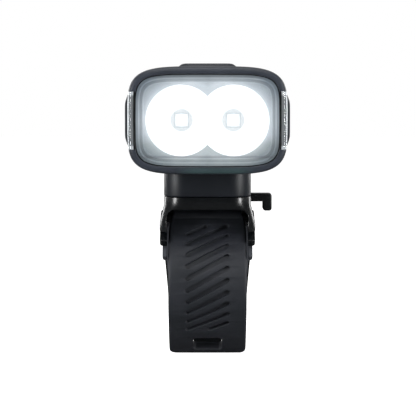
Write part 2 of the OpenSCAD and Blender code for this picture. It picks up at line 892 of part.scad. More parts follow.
module port_cover() {
    plug_w = 7.6;
    plug_h = 1.7;
    plug_len = 1.2;
    plug_drop = 0.1;
    back_y = cap_y1 - cover_sink;
    color("#1d1e20")
    union() {
        along_y(back_y - cover_t, back_y, socket_z)
            polygon(round_rect(cover_w, cover_h, cover_corner));
        along_y(socket_y1 - plug_len, back_y - cover_t + fit, socket_z - plug_drop)
            polygon(round_rect(plug_w, plug_h, plug_h / 2));
        block([-cover_w / 2 + cover_corner, cover_axis_y - cover_barrel_r / 2, cover_axis_z],
              [cover_w / 2 - cover_corner, back_y, socket_z]);
        translate([0, cover_axis_y, cover_axis_z])
            rotate([0, 90, 0])
                cylinder(r = cover_barrel_r, h = cover_w - 2 * loose, center = true);
        cover_pivot(0);
    }
}

module mount_foot() {
    mouth = rail_web_w / 2 + slide_fit;
    cavity = rail_head_w / 2 + slide_fit;
    catch_room = catch_half + 1.3;
    catch_side = catch_w / 2 + 0.5;
    color("#232527")
    difference() {
        upright(foot_w, foot_len, foot_corner, foot_z0, foot_z1);
        block([-mouth, slot_y0, foot_z0 - over], [mouth, foot_len, rail_z2 + slide_fit]);
        block([-cavity, slot_y0, rail_z1 - slide_fit], [cavity, foot_len, rail_z2 + slide_fit]);
        block([catch_x - catch_side, catch_peak_y - catch_room, foot_z0 - over],
              [catch_x + catch_side, catch_peak_y + catch_room, seam_z + catch_rise + 2 * loose]);
        at_foot_screws()
            screw_hole(foot_screw_d, foot_head_d, foot_screw_len);
    }
}

module foot_screws() {
    color("#6f7276")
    at_foot_screws()
        screw(foot_screw_d, foot_head_d, foot_screw_len);
}

module power_button() {
    top_w = button_w - 2 * button_lean;
    top_len = button_len - 2 * button_lean;
    color("#37393b")
    difference() {
        translate([0, button_y, 0])
            union() {
                hull() {
                    upright(button_w, button_len, button_corner - loose, button_skirt_z, head_top);
                    upright(top_w, top_len, button_corner - 1, button_skirt_z, head_top + button_proud);
                }
                upright(button_w + 2 * button_flange_w, button_len + 2 * button_flange_w, button_corner,
                        button_foot_z, button_skirt_z + fit);
            }
        translate([0, pipe_y, button_foot_z - over])
            cylinder(r = pipe_r + hold_fit, h = head_b);
    }
}

module button_light_pipe() {
    color("#cfe3d6", 0.7)
    translate([0, pipe_y, button_foot_z])
        cylinder(r = pipe_r, h = head_top + button_proud - fit - button_foot_z);
}

// Outline of the strap's cavity seen from the front
module arch_outline() {
    arch_h = arch_z + band_r;
    translate([0, arch_z - arch_h / 2])
        polygon(round_rect(arch_w, arch_h, arch_corner));
}

// Front view of the mount below its deck: full width at the saddle, drawn in along the claw
module mount_front_outline() {
    claw_top = 7.7;
    side_step = 0.1;
    half = saddle_w / 2 - side_step;
    claw_half = half - 0.2;
    low_half = half - 2.8;
    polygon([[-half, seam_z + over], [-half, claw_top], [-claw_half, claw_top], [-low_half, -band_r],
             [low_half, -band_r], [claw_half, claw_top], [half, claw_top], [half, seam_z + over]]);
}

module mount_base() {
    color("#141516")
    difference() {
        union() {
            difference() {
                mount_form();
                rotate([0, 90, 0])
                    cylinder(r = saddle_r, h = 2 * saddle_w, center = true);
                along_y(-foot_len, cavity_y1) arch_outline();
                deck_pocket();
            }
            deck_bosses();
        }
        at_plate_screws()
            screw_hole(small_screw_d, small_head_d, plate_screw_len);
        translate([lever_axis_x, lever_pin_y0, lever_axis_z])
            rotate([-90, 0, 0])
                cylinder(d = lever_pin_d + 2 * hold_fit, h = foot_len);
        rotate([0, 90, 0])
            translate([-root_z, root_y, 0])
                cylinder(d = strap_pin_d + 2 * hold_fit, h = strap_pin_len + 2 * fit, center = true);
    }
}

// Deck with its cheeks, the two fingers and the claw, before anything is cut out
module mount_form() {
    cheek_h = 2.6;
    cheek_lean = 1.6;
    rim_h = 2.4;
    hull() {
        upright(foot_w, foot_len, foot_corner, seam_z - rim_h, seam_z);
        upright(saddle_w, foot_len - 2 * cheek_lean, foot_corner, saddle_r - cheek_h, saddle_r);
    }
    intersection() {
        bar_sector(saddle_r - over, band_r, -claw_angle, finger_angle, saddle_w + over);
        along_y(-foot_len, foot_len) mount_front_outline();
    }
    claw_hook();
}

// Bosses in the pocket for the plate's screws and for the lever's pin
module deck_bosses() {
    for (side = [-1, 1])
        translate([side * catch_x, plate_screw_y, pocket_z - fit])
            cylinder(r = plate_boss_r, h = (side > 0 ? catch_z0 : plate_z0) - pocket_z + fit);
    for (span = [[lever_boss_y0, lever_y0 - lever_room],
                 [lever_y1 + lever_room, plate_y1 + 2 * fit]])
        block([lever_axis_x - lever_boss_w / 2, span[0], pocket_z - fit],
              [lever_axis_x + lever_boss_w / 2, span[1], plate_z0 - fit]);
}

module at_plate_screws() {
    for (side = [-1, 1])
        translate([side * catch_x, plate_screw_y, seam_z])
            children();
}

// Tongue that carries on from the claw, with a shoulder at its end and a lipped hook for the rung
module claw_hook() {
    post_deg = 7;
    lip_deg = 4;
    hook_lip = 1.4;
    shoulder = 1.4;
    tip_r = band_r + hook_reach;
    hook_from = 0.6 - tongue_angle;
    bar_sector(saddle_r - over / 2, band_r - seam_gap, -tongue_angle, 2 - claw_angle, tongue_w);
    bar_sector(band_r - band_t / 3, band_r + shoulder, hook_from / 2 - tongue_angle / 2, hook_from + post_deg / 2,
               tongue_w - 2 * fit);
    bar_sector(band_r - band_t / 4, tip_r, hook_from, hook_from + post_deg, hook_w);
    bar_sector(tip_r - hook_lip, tip_r + fit, hook_from + 1, hook_from + post_deg + lip_deg, hook_w - 2 * fit);
}

// Recess for the rail plate, with the deeper pocket for lever and catch, and the lever's way out
module deck_pocket() {
    inner_w = plate_w + 2 * fit;
    block([-inner_w / 2, plate_y0 - fit, plate_z0], [inner_w / 2, plate_y1 + fit, seam_z + over]);
    block([-inner_w / 2, pocket_y0, pocket_z], [inner_w / 2, plate_y1 + fit, seam_z + over]);
    block([lever_axis_x - lever_hub_r - lever_room, lever_y0 - lever_room, pocket_z - lever_room],
          [saddle_w, lever_y1 + lever_room, seam_z + over]);
}

module saddle_pad() {
    pad_w = saddle_w - 1.7;
    lip_r = band_r - 0.6;
    lip_from = finger_angle + 6;
    lip_deg = 8;
    color("#2b2d2f")
    difference() {
        union() {
            bar_sector(bar_r, bar_r + pad_t, 5 - claw_angle, lip_from + lip_deg, pad_w);
            bar_sector(bar_r + pad_t / 2, lip_r, lip_from, lip_from + lip_deg - 0.5, pad_w);
        }
        along_y(-foot_len, cavity_y1) arch_outline();
    }
}

module rail_plate() {
    color("#1b1c1e")
    difference() {
        union() {
            block([-plate_w / 2, plate_y0, plate_z0], [plate_w / 2, plate_y1, seam_z]);
            block([-rail_web_w / 2, rail_y0, seam_z - fit], [rail_web_w / 2, plate_y1, rail_z2]);
            block([-rail_head_w / 2, rail_y0, rail_z1], [rail_head_w / 2, plate_y1, rail_z2]);
            translate([catch_x, plate_screw_y, catch_z1])
                cylinder(r = plate_boss_r, h = plate_z0 - catch_z1 + fit);
        }
        block([lever_axis_x - lever_hub_r - lever_room, lever_y0 - lever_room, plate_z0 - over],
              [plate_w, lever_y1 + lever_room, seam_z]);
        block([catch_x - catch_w / 2 - 0.3, catch_tip_y - 0.5, plate_z0 - over],
              [plate_w, catch_peak_y + catch_half + 1, seam_z + over]);
        at_plate_screws()
            screw_hole(small_screw_d, small_head_d, plate_screw_len);
    }
}

module plate_screws() {
    color("#6f7276")
    at_plate_screws()
        screw(small_screw_d, small_head_d, plate_screw_len);
}

// Leaf held by a screw at its rear, with a raised catch near its free front end
module catch_spring() {
    peak = seam_z + catch_rise;
    slant = catch_t * 0.6;
    foot = catch_half - slant;
    crest = catch_crest - slant;
    top = [[catch_tip_y, catch_z1], [catch_peak_y - catch_half, catch_z1], [catch_peak_y - catch_crest, peak],
           [catch_peak_y + catch_crest, peak], [catch_peak_y + catch_half, catch_z1], [catch_y1, catch_z1]];
    under = [[catch_y1, catch_z0], [catch_peak_y + foot, catch_z0], [catch_peak_y + crest, peak - catch_t],
             [catch_peak_y - crest, peak - catch_t], [catch_peak_y - foot, catch_z0], [catch_tip_y, catch_z0]];
    color("#b4b8bc")
    difference() {
        translate([catch_x, 0, 0])
            along_x(catch_w) polygon(concat(top, under));
        at_plate_screws()
            translate([0, 0, -plate_screw_len])
                cylinder(d = small_screw_d + 2 * hold_fit, h = plate_screw_len);
    }
}

module lever_pin() {
    color("#b4b8bc")
    translate([lever_axis_x, lever_pin_y0, lever_axis_z])
        rotate([-90, 0, 0])
            cylinder(d = lever_pin_d, h = lever_pin_y1 - lever_pin_y0);
}

// Arm with a hooked thumb pad at its tip, on a hub that turns on the pin
module release_lever() {
    pad_h = lever_t + thumb_drop;
    arm_len = lever_reach - lever_axis_x;
    color("#17181a")
    along_y(lever_y0, lever_y1)
        difference() {
            union() {
                translate([lever_axis_x + arm_len / 2, lever_z0 + lever_t / 2])
                    polygon(round_rect(arm_len, lever_t, 0.7));
                translate([lever_reach - thumb_w / 2, lever_z1 - pad_h / 2])
                    polygon(round_rect(thumb_w, pad_h, 0.8));
                translate([lever_axis_x, lever_axis_z])
                    circle(r = lever_hub_r);
            }
            translate([lever_axis_x, lever_axis_z])
                circle(d = lever_pin_d + 2 * run_fit);
        }
}

module strap_pin() {
    color("#b4b8bc")
    rotate([0, 90, 0])
        translate([-root_z, root_y, 0])
            cylinder(d = strap_pin_d, h = strap_pin_len, center = true);
}

// Rounded cross-section of the strap, at its distance from the centre of the bend
module strap_section(inner_r) {
    translate([inner_r + strap_t / 2, 0])
        polygon(round_rect(strap_t, strap_w, strap_edge));
}

// The strap's bend and tail: the wrap follows the bar, the tail opens out to a gentler curve
module strap_body() {
    wrap_deg = tail_angle - wrap_angle;
    at_tail_start() {
        rotate_extrude(angle = wrap_deg, start = -wrap_deg)
            strap_section(strap_r0);
        translate([strap_r0 - tail_r, 0, 0])
            rotate_extrude(angle = tail_deg, start = 0)
                strap_section(tail_r);
    }
    rotate([0, 90, 0])
        translate([-root_z, root_y, 0])
            cylinder(r = bead_r, h = strap_w - 3 * strap_edge, center = true);
    strap_swell();
}

// Thicker root between the strap's bend and its bead
module strap_swell() {
    steps = 8;
    inner = strap_r0 + strap_t / 4;
    rise = root_r + bead_r - strap_r1 + swell_sink;
    crown = [for (i = [0 : steps])
        let (share = i / steps, angle = swell_to - (swell_to - root_angle) * share,
             r = strap_r1 - swell_sink + rise * share * share)
        [-r * sin(angle), r * cos(angle)]];
    foot = [for (angle = [root_angle + 5, (root_angle + swell_to) / 2, swell_to])
        [-inner * sin(angle), inner * cos(angle)]];
    along_x(strap_w - 2.5 * strap_edge)
        polygon(concat(crown, [[root_y, root_z]], foot));
}

// Frame about the bar's axis, turned so that the tail starts at angle zero
module at_tail_start() {
    rotate([90, 0, 90])
        rotate([0, 0, 90 + tail_angle])
            children();
}

// Stadium seen from outside the strap, as a tool that points at the bar's axis
module groove_tool(from_x, to_x) {
    length = (to_x - from_x) / cos(groove_slope);
    translate([(from_x + to_x) / 2, 0, 0])
        rotate([0, 0, groove_slope])
            linear_extrude(2 * strap_r1)
                polygon(round_rect(length, groove_w, groove_w / 2 - fit));
}

module strap_grooves() {
    half = groove_field / 2;
    intersection() {
        union() {
            for (i = [0 : groove_count - 1])
                rotate([first_groove + i * groove_pitch, 0, 0])
                    groove_tool(-half, half);
            rotate([first_groove - groove_pitch, 0, 0])
                half_groove(-half, 0);
        }
        bar_sector(strap_r1 - groove_depth, band_r + over, groove_from, groove_to, strap_w);
    }
}

// Short groove that runs from one end of the field to its middle
module half_groove(from_x, to_x) {
    middle = (from_x + to_x) / 2;
    lead = atan(middle * tan(groove_slope) / strap_r1);
    rotate([-lead, 0, 0])
        groove_tool(from_x, to_x);
}

// Eye through the tail, the last short groove and the round corners of the tail's end
module tail_cuts() {
    mid_r = tail_r + strap_t / 2;
    half = groove_field / 2;
    last_groove = first_groove + groove_count * groove_pitch;
    last_along = (last_groove - tail_angle) * strap_r1 * PI / 180 - half / 2 * tan(groove_slope);
    eye_mid = tail_deg - (rung_w + eye_len / 2) / tail_r * 180 / PI;
    at_tail_start()
    translate([strap_r0 - tail_r, 0, 0]) {
        rotate([0, 0, last_along / tail_r * 180 / PI])
            translate([tail_r + strap_t - groove_depth, 0, 0])
                rotate([90, 0, 90])
                    rotate([0, 0, -90])
                        groove_tool(0, half);
        rotate([0, 0, eye_mid])
            translate([mid_r, 0, 0])
                rotate([90, 0, 90])
                    linear_extrude(2 * strap_t, center = true)
                        polygon(round_rect(eye_len, eye_w, eye_corner));
        rotate([0, 0, tail_deg])
            translate([mid_r, 0, 0])
                rotate([90, 0, 90])
                    for (side = [-1, 1])
                        tail_corner_cut(side);
    }
}

// Rounds one corner of the tail's end
module tail_corner_cut(side) {
    centre = strap_w / 2 - tail_corner;
    linear_extrude(2 * strap_t, center = true)
        difference() {
            translate([-tail_corner, side > 0 ? centre : -centre - tail_corner - over])
                square(tail_corner + over);
            translate([-tail_corner, side * centre])
                circle(r = tail_corner + fit);
        }
}

module strap() {
    color("#1c1d1f")
    difference() {
        strap_body();
        strap_grooves();
        tail_cuts();
        rotate([0, 90, 0])
            translate([-root_z, root_y, 0])
                cylinder(d = strap_pin_d + 2 * run_fit, h = 2 * strap_w, center = true);
    }
}

main_housing();
front_bezel();
front_lens();
lens_gasket();
twin_reflector();
led_emitters();
led_board();
heat_sink();
board_screws();
led_leads();
battery_cells();
cell_holders();
cell_tabs();
battery_leads();
control_board();
tact_switch();
usb_socket();
rear_cap();
rear_seal();
cap_screws();
mount_foot();
foot_screws();
power_button();
switch_plunger();
button_light_pipe();
port_cover();
mount_base();
saddle_pad();
rail_plate();
plate_screws();
catch_spring();
lever_pin();
release_lever();
strap_pin();
strap();
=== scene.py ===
import json
import math

import bmesh
import bpy
from mathutils import Matrix, Vector


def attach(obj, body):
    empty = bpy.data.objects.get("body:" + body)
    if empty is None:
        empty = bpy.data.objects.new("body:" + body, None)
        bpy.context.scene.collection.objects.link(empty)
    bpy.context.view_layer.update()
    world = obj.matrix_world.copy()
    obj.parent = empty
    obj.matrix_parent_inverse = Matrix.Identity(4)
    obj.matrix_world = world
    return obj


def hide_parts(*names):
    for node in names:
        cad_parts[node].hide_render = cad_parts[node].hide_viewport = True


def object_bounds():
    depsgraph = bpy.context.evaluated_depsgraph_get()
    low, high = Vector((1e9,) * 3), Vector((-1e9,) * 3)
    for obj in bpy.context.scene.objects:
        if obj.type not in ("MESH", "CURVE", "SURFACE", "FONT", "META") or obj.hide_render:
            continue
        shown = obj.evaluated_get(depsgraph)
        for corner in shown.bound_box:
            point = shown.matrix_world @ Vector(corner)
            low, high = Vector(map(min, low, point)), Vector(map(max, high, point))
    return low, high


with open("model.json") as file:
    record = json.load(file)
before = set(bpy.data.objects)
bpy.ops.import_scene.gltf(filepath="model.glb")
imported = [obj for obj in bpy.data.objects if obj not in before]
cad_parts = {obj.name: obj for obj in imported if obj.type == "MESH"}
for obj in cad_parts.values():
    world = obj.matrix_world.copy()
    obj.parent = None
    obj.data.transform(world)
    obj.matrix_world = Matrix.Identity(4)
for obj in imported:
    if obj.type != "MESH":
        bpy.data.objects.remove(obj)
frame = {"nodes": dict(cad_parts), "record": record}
cad_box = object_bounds()

# Sizes in metres, in the part's own frame: the bar's centre is the origin, the lamp faces -Y
MM = 0.001
TINY = 1e-6
SIDES = (-1, 1)
ACROSS, FORWARD, REARWARD, UP, DOWN = (1, 0, 0), (0, -1, 0), (0, 1, 0), (0, 0, 1), (0, 0, -1)

BAR_R = 15.9 * MM
SADDLE_R = 17.15 * MM
BAND_R = 19.75 * MM
SEAM_Z = 24.8 * MM
FOOT_W = 25 * MM
FOOT_LEN = 40 * MM
FOOT_CORNER = 6 * MM
FOOT_Z0 = 24.9 * MM
FOOT_Z1 = 32.9 * MM
SADDLE_W = 27.7 * MM
ARCH_HALF = 11.7 * MM
ARCH_Z = 21 * MM
CAVITY_Y = -3.4 * MM
CLAW_TOP_Z = 7.7 * MM
CLAW_DROP = 27.45 * MM
CLAW_TAPER = 0.192
LINER_W = 26 * MM
LINER_T = 1.2 * MM
RAIL_Z1 = 27.1 * MM
RAIL_Z2 = 28.9 * MM
SLOT_ROOF_Z = RAIL_Z2 + 0.2 * MM
PLATE_SCREW_X = 8.4 * MM
PLATE_SCREW_Y = 15.55 * MM
LEVER_X = -2 * MM
LEVER_Z = 21.15 * MM
PIN_HOLE_R = 1.02 * MM
PIN_BORE_R = 1.05 * MM

HEAD_A = 21.8 * MM
HEAD_B = 14.7 * MM
HEAD_Z = 46.8 * MM
HEAD_TOP = HEAD_Z + HEAD_B
FULLNESS = 4.4
TIGHTER = 0.45
BOWL_X = 7.15 * MM
BOWL_R = 9.7 * MM
BOWL_HOLE_R = 3.1 * MM
BOWL_FOCUS = 2.4 * MM
BOWL_Y = -39.1 * MM
BOWL_ROWS = 28
REFLECTOR_Y1 = -29.9 * MM
GRIP_DEPTH = 1.35 * MM
GRIP_STAND = 0.9 * MM
BUTTON_Y = -10 * MM
PIPE_Y = -14.5 * MM
SOCKET_Z = 53.12 * MM
COVER_AXIS_Y = 53.7 * MM
COVER_AXIS_Z = 49.12 * MM

STRAP_W = 22.6 * MM
STRAP_T = 2.6 * MM
STRAP_R0 = 16 * MM
STRAP_R1 = STRAP_R0 + STRAP_T
TAIL_R = 60 * MM
ROOT_ANGLE = math.radians(20)
ROOT_R = 19.2 * MM
BEAD_R = 2.4 * MM
SWELL_TO = math.radians(42)
WRAP_FROM = math.radians(22)
WRAP_TO = math.radians(131)
TAIL_TURN = 15.4 * MM / TAIL_R
PIN_Y = -ROOT_R * math.sin(ROOT_ANGLE)
PIN_Z = ROOT_R * math.cos(ROOT_ANGLE)

# Where the top of each screw's head is
CAP_SCREWS = [(x * MM, 53.8 * MM, z * MM) for x, z in ((-14.8, 55.8), (14.8, 55.8), (0, 37.2))]
FOOT_SCREWS = [(0, y * MM, SLOT_ROOF_Z) for y in (-8, 12)]
PLATE_SCREWS = [(side * PLATE_SCREW_X, PLATE_SCREW_Y, SEAM_Z) for side in SIDES]


# Modelling helpers

def put_down():
    if bpy.context.mode != "OBJECT":
        bpy.ops.object.mode_set(mode="OBJECT")
    bpy.ops.object.select_all(action="DESELECT")


def pick(piece):
    put_down()
    piece.select_set(True)
    bpy.context.view_layer.objects.active = piece


def edit(piece):
    pick(piece)
    bpy.ops.object.mode_set(mode="EDIT")
    bpy.ops.mesh.select_mode(type="VERT")


def choose(piece, kind, test):
    """Selects the corners, edges or faces that pass a test, and nothing else."""
    bpy.ops.mesh.select_mode(type=kind)
    bpy.ops.mesh.select_all(action="DESELECT")
    form = bmesh.from_edit_mesh(piece.data)
    for item in {"VERT": form.verts, "EDGE": form.edges, "FACE": form.faces}[kind]:
        item.select_set(bool(test(item)))
    bmesh.update_edit_mesh(piece.data)


def close_up():
    """Turns every face outwards and leaves edit mode."""
    bpy.ops.mesh.select_mode(type="VERT")
    bpy.ops.mesh.select_all(action="SELECT")
    bpy.ops.mesh.normals_make_consistent(inside=False)
    bpy.ops.object.mode_set(mode="OBJECT")


def settle(piece, matrix=None):
    """Bakes the object's place into its mesh."""
    if matrix is not None:
        piece.matrix_world = matrix
    pick(piece)
    bpy.ops.object.transform_apply(location=True, rotation=True, scale=True)


def apply_modifier(piece, kind, **values):
    pick(piece)
    modifier = piece.modifiers.new(kind.lower(), kind)
    for name, value in values.items():
        setattr(modifier, name, value)
    bpy.ops.object.modifier_apply(modifier=modifier.name)


def combine(piece, others, operation="DIFFERENCE"):
    """Cuts the other forms out of a piece, or adds them to it, one after another."""
    for other in others:
        apply_modifier(piece, "BOOLEAN", object=other, operation=operation, solver="EXACT")
        bpy.data.objects.remove(other, do_unlink=True)
    return piece


def join(pieces, name):
    put_down()
    for piece in pieces:
        piece.select_set(True)
    bpy.context.view_layer.objects.active = pieces[0]
    bpy.ops.object.join()
    whole = bpy.context.object
    whole.name = name
    return whole


def smooth(piece, degrees):
    pick(piece)
    bpy.ops.object.shade_smooth_by_angle(angle=math.radians(degrees))


def slab(name, width, length, thick, place, corner=0, steps=6, rounded=lambda vert: True):
    """Flat plate drawn in X and Y, some or all corners rounded, from place's height upwards."""
    put_down()
    bpy.ops.mesh.primitive_plane_add(size=1, location=place)
    piece = bpy.context.object
    piece.name = name
    piece.scale = (width, length, 1)
    settle(piece)
    edit(piece)
    if corner:
        choose(piece, "VERT", rounded)
        bpy.ops.mesh.bevel(offset=corner, segments=steps, affect="VERTICES")
    bpy.ops.mesh.select_all(action="SELECT")
    bpy.ops.mesh.extrude_region_move(TRANSFORM_OT_translate={"value": (0, 0, thick)})
    close_up()
    return piece


def block(name, low, high):
    size = [b - a for a, b in zip(low, high)]
    place = ((low[0] + high[0]) / 2, (low[1] + high[1]) / 2, low[2])
    return slab(name, size[0], size[1], size[2], place)


def front_plate(name, width, height, from_y, to_y, place, corner=0, steps=6):
    """Plate with its outline in X and Z, centred on place, from one Y to another."""
    x, z = place
    piece = slab(name, width, height, to_y - from_y, (x, z, -to_y), corner, steps)
    settle(piece, Matrix.Rotation(math.pi / 2, 4, "X"))
    return piece


def laid(place, axis):
    """Matrix that carries +Z onto an axis and the origin to a place."""
    turn = Vector(UP).rotation_difference(Vector(axis))
    return Matrix.Translation(place) @ turn.to_matrix().to_4x4()


def turned(name, rows, matrix, points):
    """Round form drawn up from one circle through rows of (height, radius), then laid in place."""
    put_down()
    height, radius = rows[0]
    bpy.ops.mesh.primitive_circle_add(vertices=points, radius=radius, fill_type="NGON",
                                      location=(0, 0, height))
    piece = bpy.context.object
    piece.name = name
    settle(piece)
    edit(piece)
    bpy.ops.mesh.select_all(action="SELECT")
    for (low, inner), (high, outer) in zip(rows, rows[1:]):
        bpy.ops.mesh.extrude_region_move(TRANSFORM_OT_translate={"value": (0, 0, high - low)})
        share = outer / inner
        bpy.ops.transform.resize(value=(share, share, 1), center_override=(0, 0, high))
    close_up()
    settle(piece, matrix)
    return piece


def rod(name, radius, low, high, place, axis, points=40):
    """Round bar, or the room for one, between two heights along its axis."""
    return turned(name, [(low, radius), (high, radius)], laid(place, axis), points)


def round_rims(piece, offset, segments, test):
    edit(piece)
    choose(piece, "EDGE", test)
    bpy.ops.mesh.bevel(offset=offset, segments=segments, affect="EDGES")
    bpy.ops.object.mode_set(mode="OBJECT")


def rim_test(axis):
    """Test for an edge of a plate's two outlines, by the axis through its thickness."""
    sharp = 1.2

    def on_rim(edge):
        first, second = edge.verts
        return abs(first.co[axis] - second.co[axis]) < TINY and edge.calc_face_angle(0) > sharp

    return on_rim


level_rim = rim_test(2)


def slice_along_y(piece, stations):
    edit(piece)
    for at in stations:
        bpy.ops.mesh.select_all(action="SELECT")
        bpy.ops.mesh.bisect(plane_co=(0, at, 0), plane_no=(0, 1, 0))
    bpy.ops.object.mode_set(mode="OBJECT")


def move_points(piece, rule):
    for vert in piece.data.vertices:
        vert.co = rule(vert.co)
    piece.data.update()


def spread(start, end, count):
    return [start + (end - start) * i / count for i in range(1, count)]


def ease(value):
    value = min(max(value, 0), 1)
    return value * value * (3 - 2 * value)


# The head's outline, which its shells, lens and reflector share

RING = 192
TO_CORNERS = 2.2


def ring_turn(index):
    """Turn of one point of the outline, spaced to reach evenly along sides and corners."""
    quarter, step = divmod(index, RING // 4)
    share = step / (RING // 4)
    near, far = share ** TO_CORNERS, (1 - share) ** TO_CORNERS
    return math.pi / 2 * (quarter + near / (near + far))


def head_point(turn, inset):
    power = 2 / (FULLNESS + TIGHTER * inset / MM)
    c, s = math.cos(turn), math.sin(turn)
    return (math.copysign((HEAD_A - inset) * abs(c) ** power, c),
            HEAD_Z + math.copysign((HEAD_B - inset) * abs(s) ** power, s))


def carry_inwards(at, from_inset, to_inset):
    """Moves a point of one outline to its place on another."""
    power = (FULLNESS + TIGHTER * from_inset / MM) / 2
    x, z = at.x / (HEAD_A - from_inset), (at.z - HEAD_Z) / (HEAD_B - from_inset)
    turn = math.atan2(math.copysign(abs(z) ** power, z), math.copysign(abs(x) ** power, x))
    return head_point(turn, to_inset)


def head_loft(name, stations, ring=False):
    """Draws the head's outline on through stations, each a Y and an inset in millimetres."""
    stations = [(y * MM, inset * MM) for y, inset in stations]
    put_down()
    bpy.ops.mesh.primitive_circle_add(vertices=RING, radius=HEAD_A, location=(0, 0, HEAD_Z))
    piece = bpy.context.object
    piece.name = name
    settle(piece)
    first_y, first_inset = stations[0]
    for index, vert in enumerate(piece.data.vertices):
        x, z = head_point(ring_turn(index), first_inset)
        vert.co = (x, first_y, z)
    edit(piece)
    bpy.ops.mesh.select_all(action="SELECT")
    for (from_y, from_inset), (to_y, to_inset) in zip(stations, stations[1:]):
        bpy.ops.mesh.extrude_region_move(TRANSFORM_OT_translate={"value": (0, to_y - from_y, 0)})
        form = bmesh.from_edit_mesh(piece.data)
        for vert in form.verts:
            if vert.select:
                vert.co.x, vert.co.z = carry_inwards(vert.co, from_inset, to_inset)
        bmesh.update_edit_mesh(piece.data)
    choose(piece, "EDGE", lambda edge: edge.is_boundary)
    if ring:
        bpy.ops.mesh.bridge_edge_loops()
    else:
        bpy.ops.mesh.fill_holes(sides=0)
    close_up()
    return piece


# Materials

WHITE = (1, 1, 1)


def grey(level):
    return (level, level, level)


def srgb(code):
    values = [int(code[i:i + 2], 16) / 255 for i in (1, 3, 5)]
    return tuple(v / 12.92 if v <= 0.04045 else ((v + 0.055) / 1.055) ** 2.4 for v in values)


def new_material(name):
    material = bpy.data.materials.new(name)
    material.use_nodes = True
    tree = material.node_tree
    tree.nodes.clear()
    out = tree.nodes.new("ShaderNodeOutputMaterial")
    shader = tree.nodes.new("ShaderNodeBsdfPrincipled")
    tree.links.new(shader.outputs["BSDF"], out.inputs["Surface"])
    return material, tree, shader


def object_place(tree):
    return tree.nodes.new("ShaderNodeTexCoord").outputs["Object"]


def apart(tree):
    """X, Y and Z of a point, as three sockets."""
    node = tree.nodes.new("ShaderNodeSeparateXYZ")
    tree.links.new(object_place(tree), node.inputs["Vector"])
    return node.outputs["X"], node.outputs["Y"], node.outputs["Z"]


def object_noise(tree, scale, detail=3, rough=0.5, stretch=None):
    source = object_place(tree)
    if stretch:
        turn = tree.nodes.new("ShaderNodeMapping")
        turn.inputs["Scale"].default_value = stretch
        tree.links.new(source, turn.inputs["Vector"])
        source = turn.outputs["Vector"]
    noise = tree.nodes.new("ShaderNodeTexNoise")
    noise.inputs["Scale"].default_value = scale
    noise.inputs["Detail"].default_value = detail
    noise.inputs["Roughness"].default_value = rough
    tree.links.new(source, noise.inputs["Vector"])
    return noise.outputs["Fac"]


def ramp(tree, source, stops):
    node = tree.nodes.new("ShaderNodeValToRGB")
    elements = node.color_ramp.elements
    while len(elements) < len(stops):
        elements.new(0.5)
    for element, (at, colour) in zip(elements, stops):
        element.position = at
        element.color = (*colour, 1)
    tree.links.new(source, node.inputs["Fac"])
    return node.outputs["Color"]


def span(tree, source, low, high, from_low=0.3, from_high=0.7, kind="LINEAR"):
    """Carries a range of values onto another, and stays at its ends beyond them."""
    node = tree.nodes.new("ShaderNodeMapRange")
    node.interpolation_type = kind
    node.inputs["From Min"].default_value = from_low
    node.inputs["From Max"].default_value = from_high
    node.inputs["To Min"].default_value = low
    node.inputs["To Max"].default_value = high
    tree.links.new(source, node.inputs["Value"])
    return node.outputs["Result"]


def figure(tree, operation, first, second=0):
    """Math node on two sockets or plain numbers."""
    node = tree.nodes.new("ShaderNodeMath")
    node.operation = operation
    for socket, value in zip(node.inputs, (first, second)):
        if isinstance(value, (int, float)):
            socket.default_value = value
        else:
            tree.links.new(value, socket)
    return node.outputs["Value"]


def figure_colour(tree, first, second, operation="MULTIPLY"):
    """Product of two colours, or the brighter of them."""
    node = tree.nodes.new("ShaderNodeVectorMath")
    node.operation = operation
    tree.links.new(first, node.inputs[0])
    tree.links.new(second, node.inputs[1])
    return node.outputs["Vector"]


def away_from(tree, source, middle):
    return figure(tree, "ABSOLUTE", figure(tree, "SUBTRACT", source, middle))


def bump(tree, shader, height, distance):
    node = tree.nodes.new("ShaderNodeBump")
    node.inputs["Distance"].default_value = distance
    node.inputs["Strength"].default_value = 1
    tree.links.new(height, node.inputs["Height"])
    tree.links.new(node.outputs["Normal"], shader.inputs["Normal"])


def colour_and_gloss(tree, shader, drift, dark, light, grained, rough_low, rough_high):
    """Colour that follows one noise and roughness that follows another."""
    colour = ramp(tree, drift, [(0.3, srgb(dark)), (0.7, srgb(light))])
    tree.links.new(colour, shader.inputs["Base Color"])
    tree.links.new(span(tree, grained, rough_low, rough_high), shader.inputs["Roughness"])


def moulded(name, dark, light, rough_low, rough_high, grain, height, shine=0.25, stretch=None):
    """Plastic whose colour drifts a little, with its grain in roughness and bump."""
    material, tree, shader = new_material(name)
    drift = object_noise(tree, 90, 2)
    grained = object_noise(tree, grain, 4, 0.6, stretch)
    colour_and_gloss(tree, shader, drift, dark, light, grained, rough_low, rough_high)
    shader.inputs["Specular IOR Level"].default_value = shine
    bump(tree, shader, grained, height)
    return material, tree, shader


def plastic(*values, **more):
    return moulded(*values, **more)[0]


def metal(name, dark, light, rough_low, rough_high, grain, height, stretch=None):
    material, tree, shader = new_material(name)
    grained = object_noise(tree, grain, 3, 0.6, stretch)
    colour_and_gloss(tree, shader, grained, dark, light, grained, rough_low, rough_high)
    shader.inputs["Metallic"].default_value = 1
    bump(tree, shader, grained, height)
    return material


def clear_plastic(name, tint_low, tint_high, rough):
    material, tree, shader = new_material(name)
    cloud = object_noise(tree, 300, 2)
    colour_and_gloss(tree, shader, cloud, tint_low, tint_high, cloud, rough * 0.5, rough)
    shader.inputs["Transmission Weight"].default_value = 1
    shader.inputs["IOR"].default_value = 1.47
    return material, tree, shader


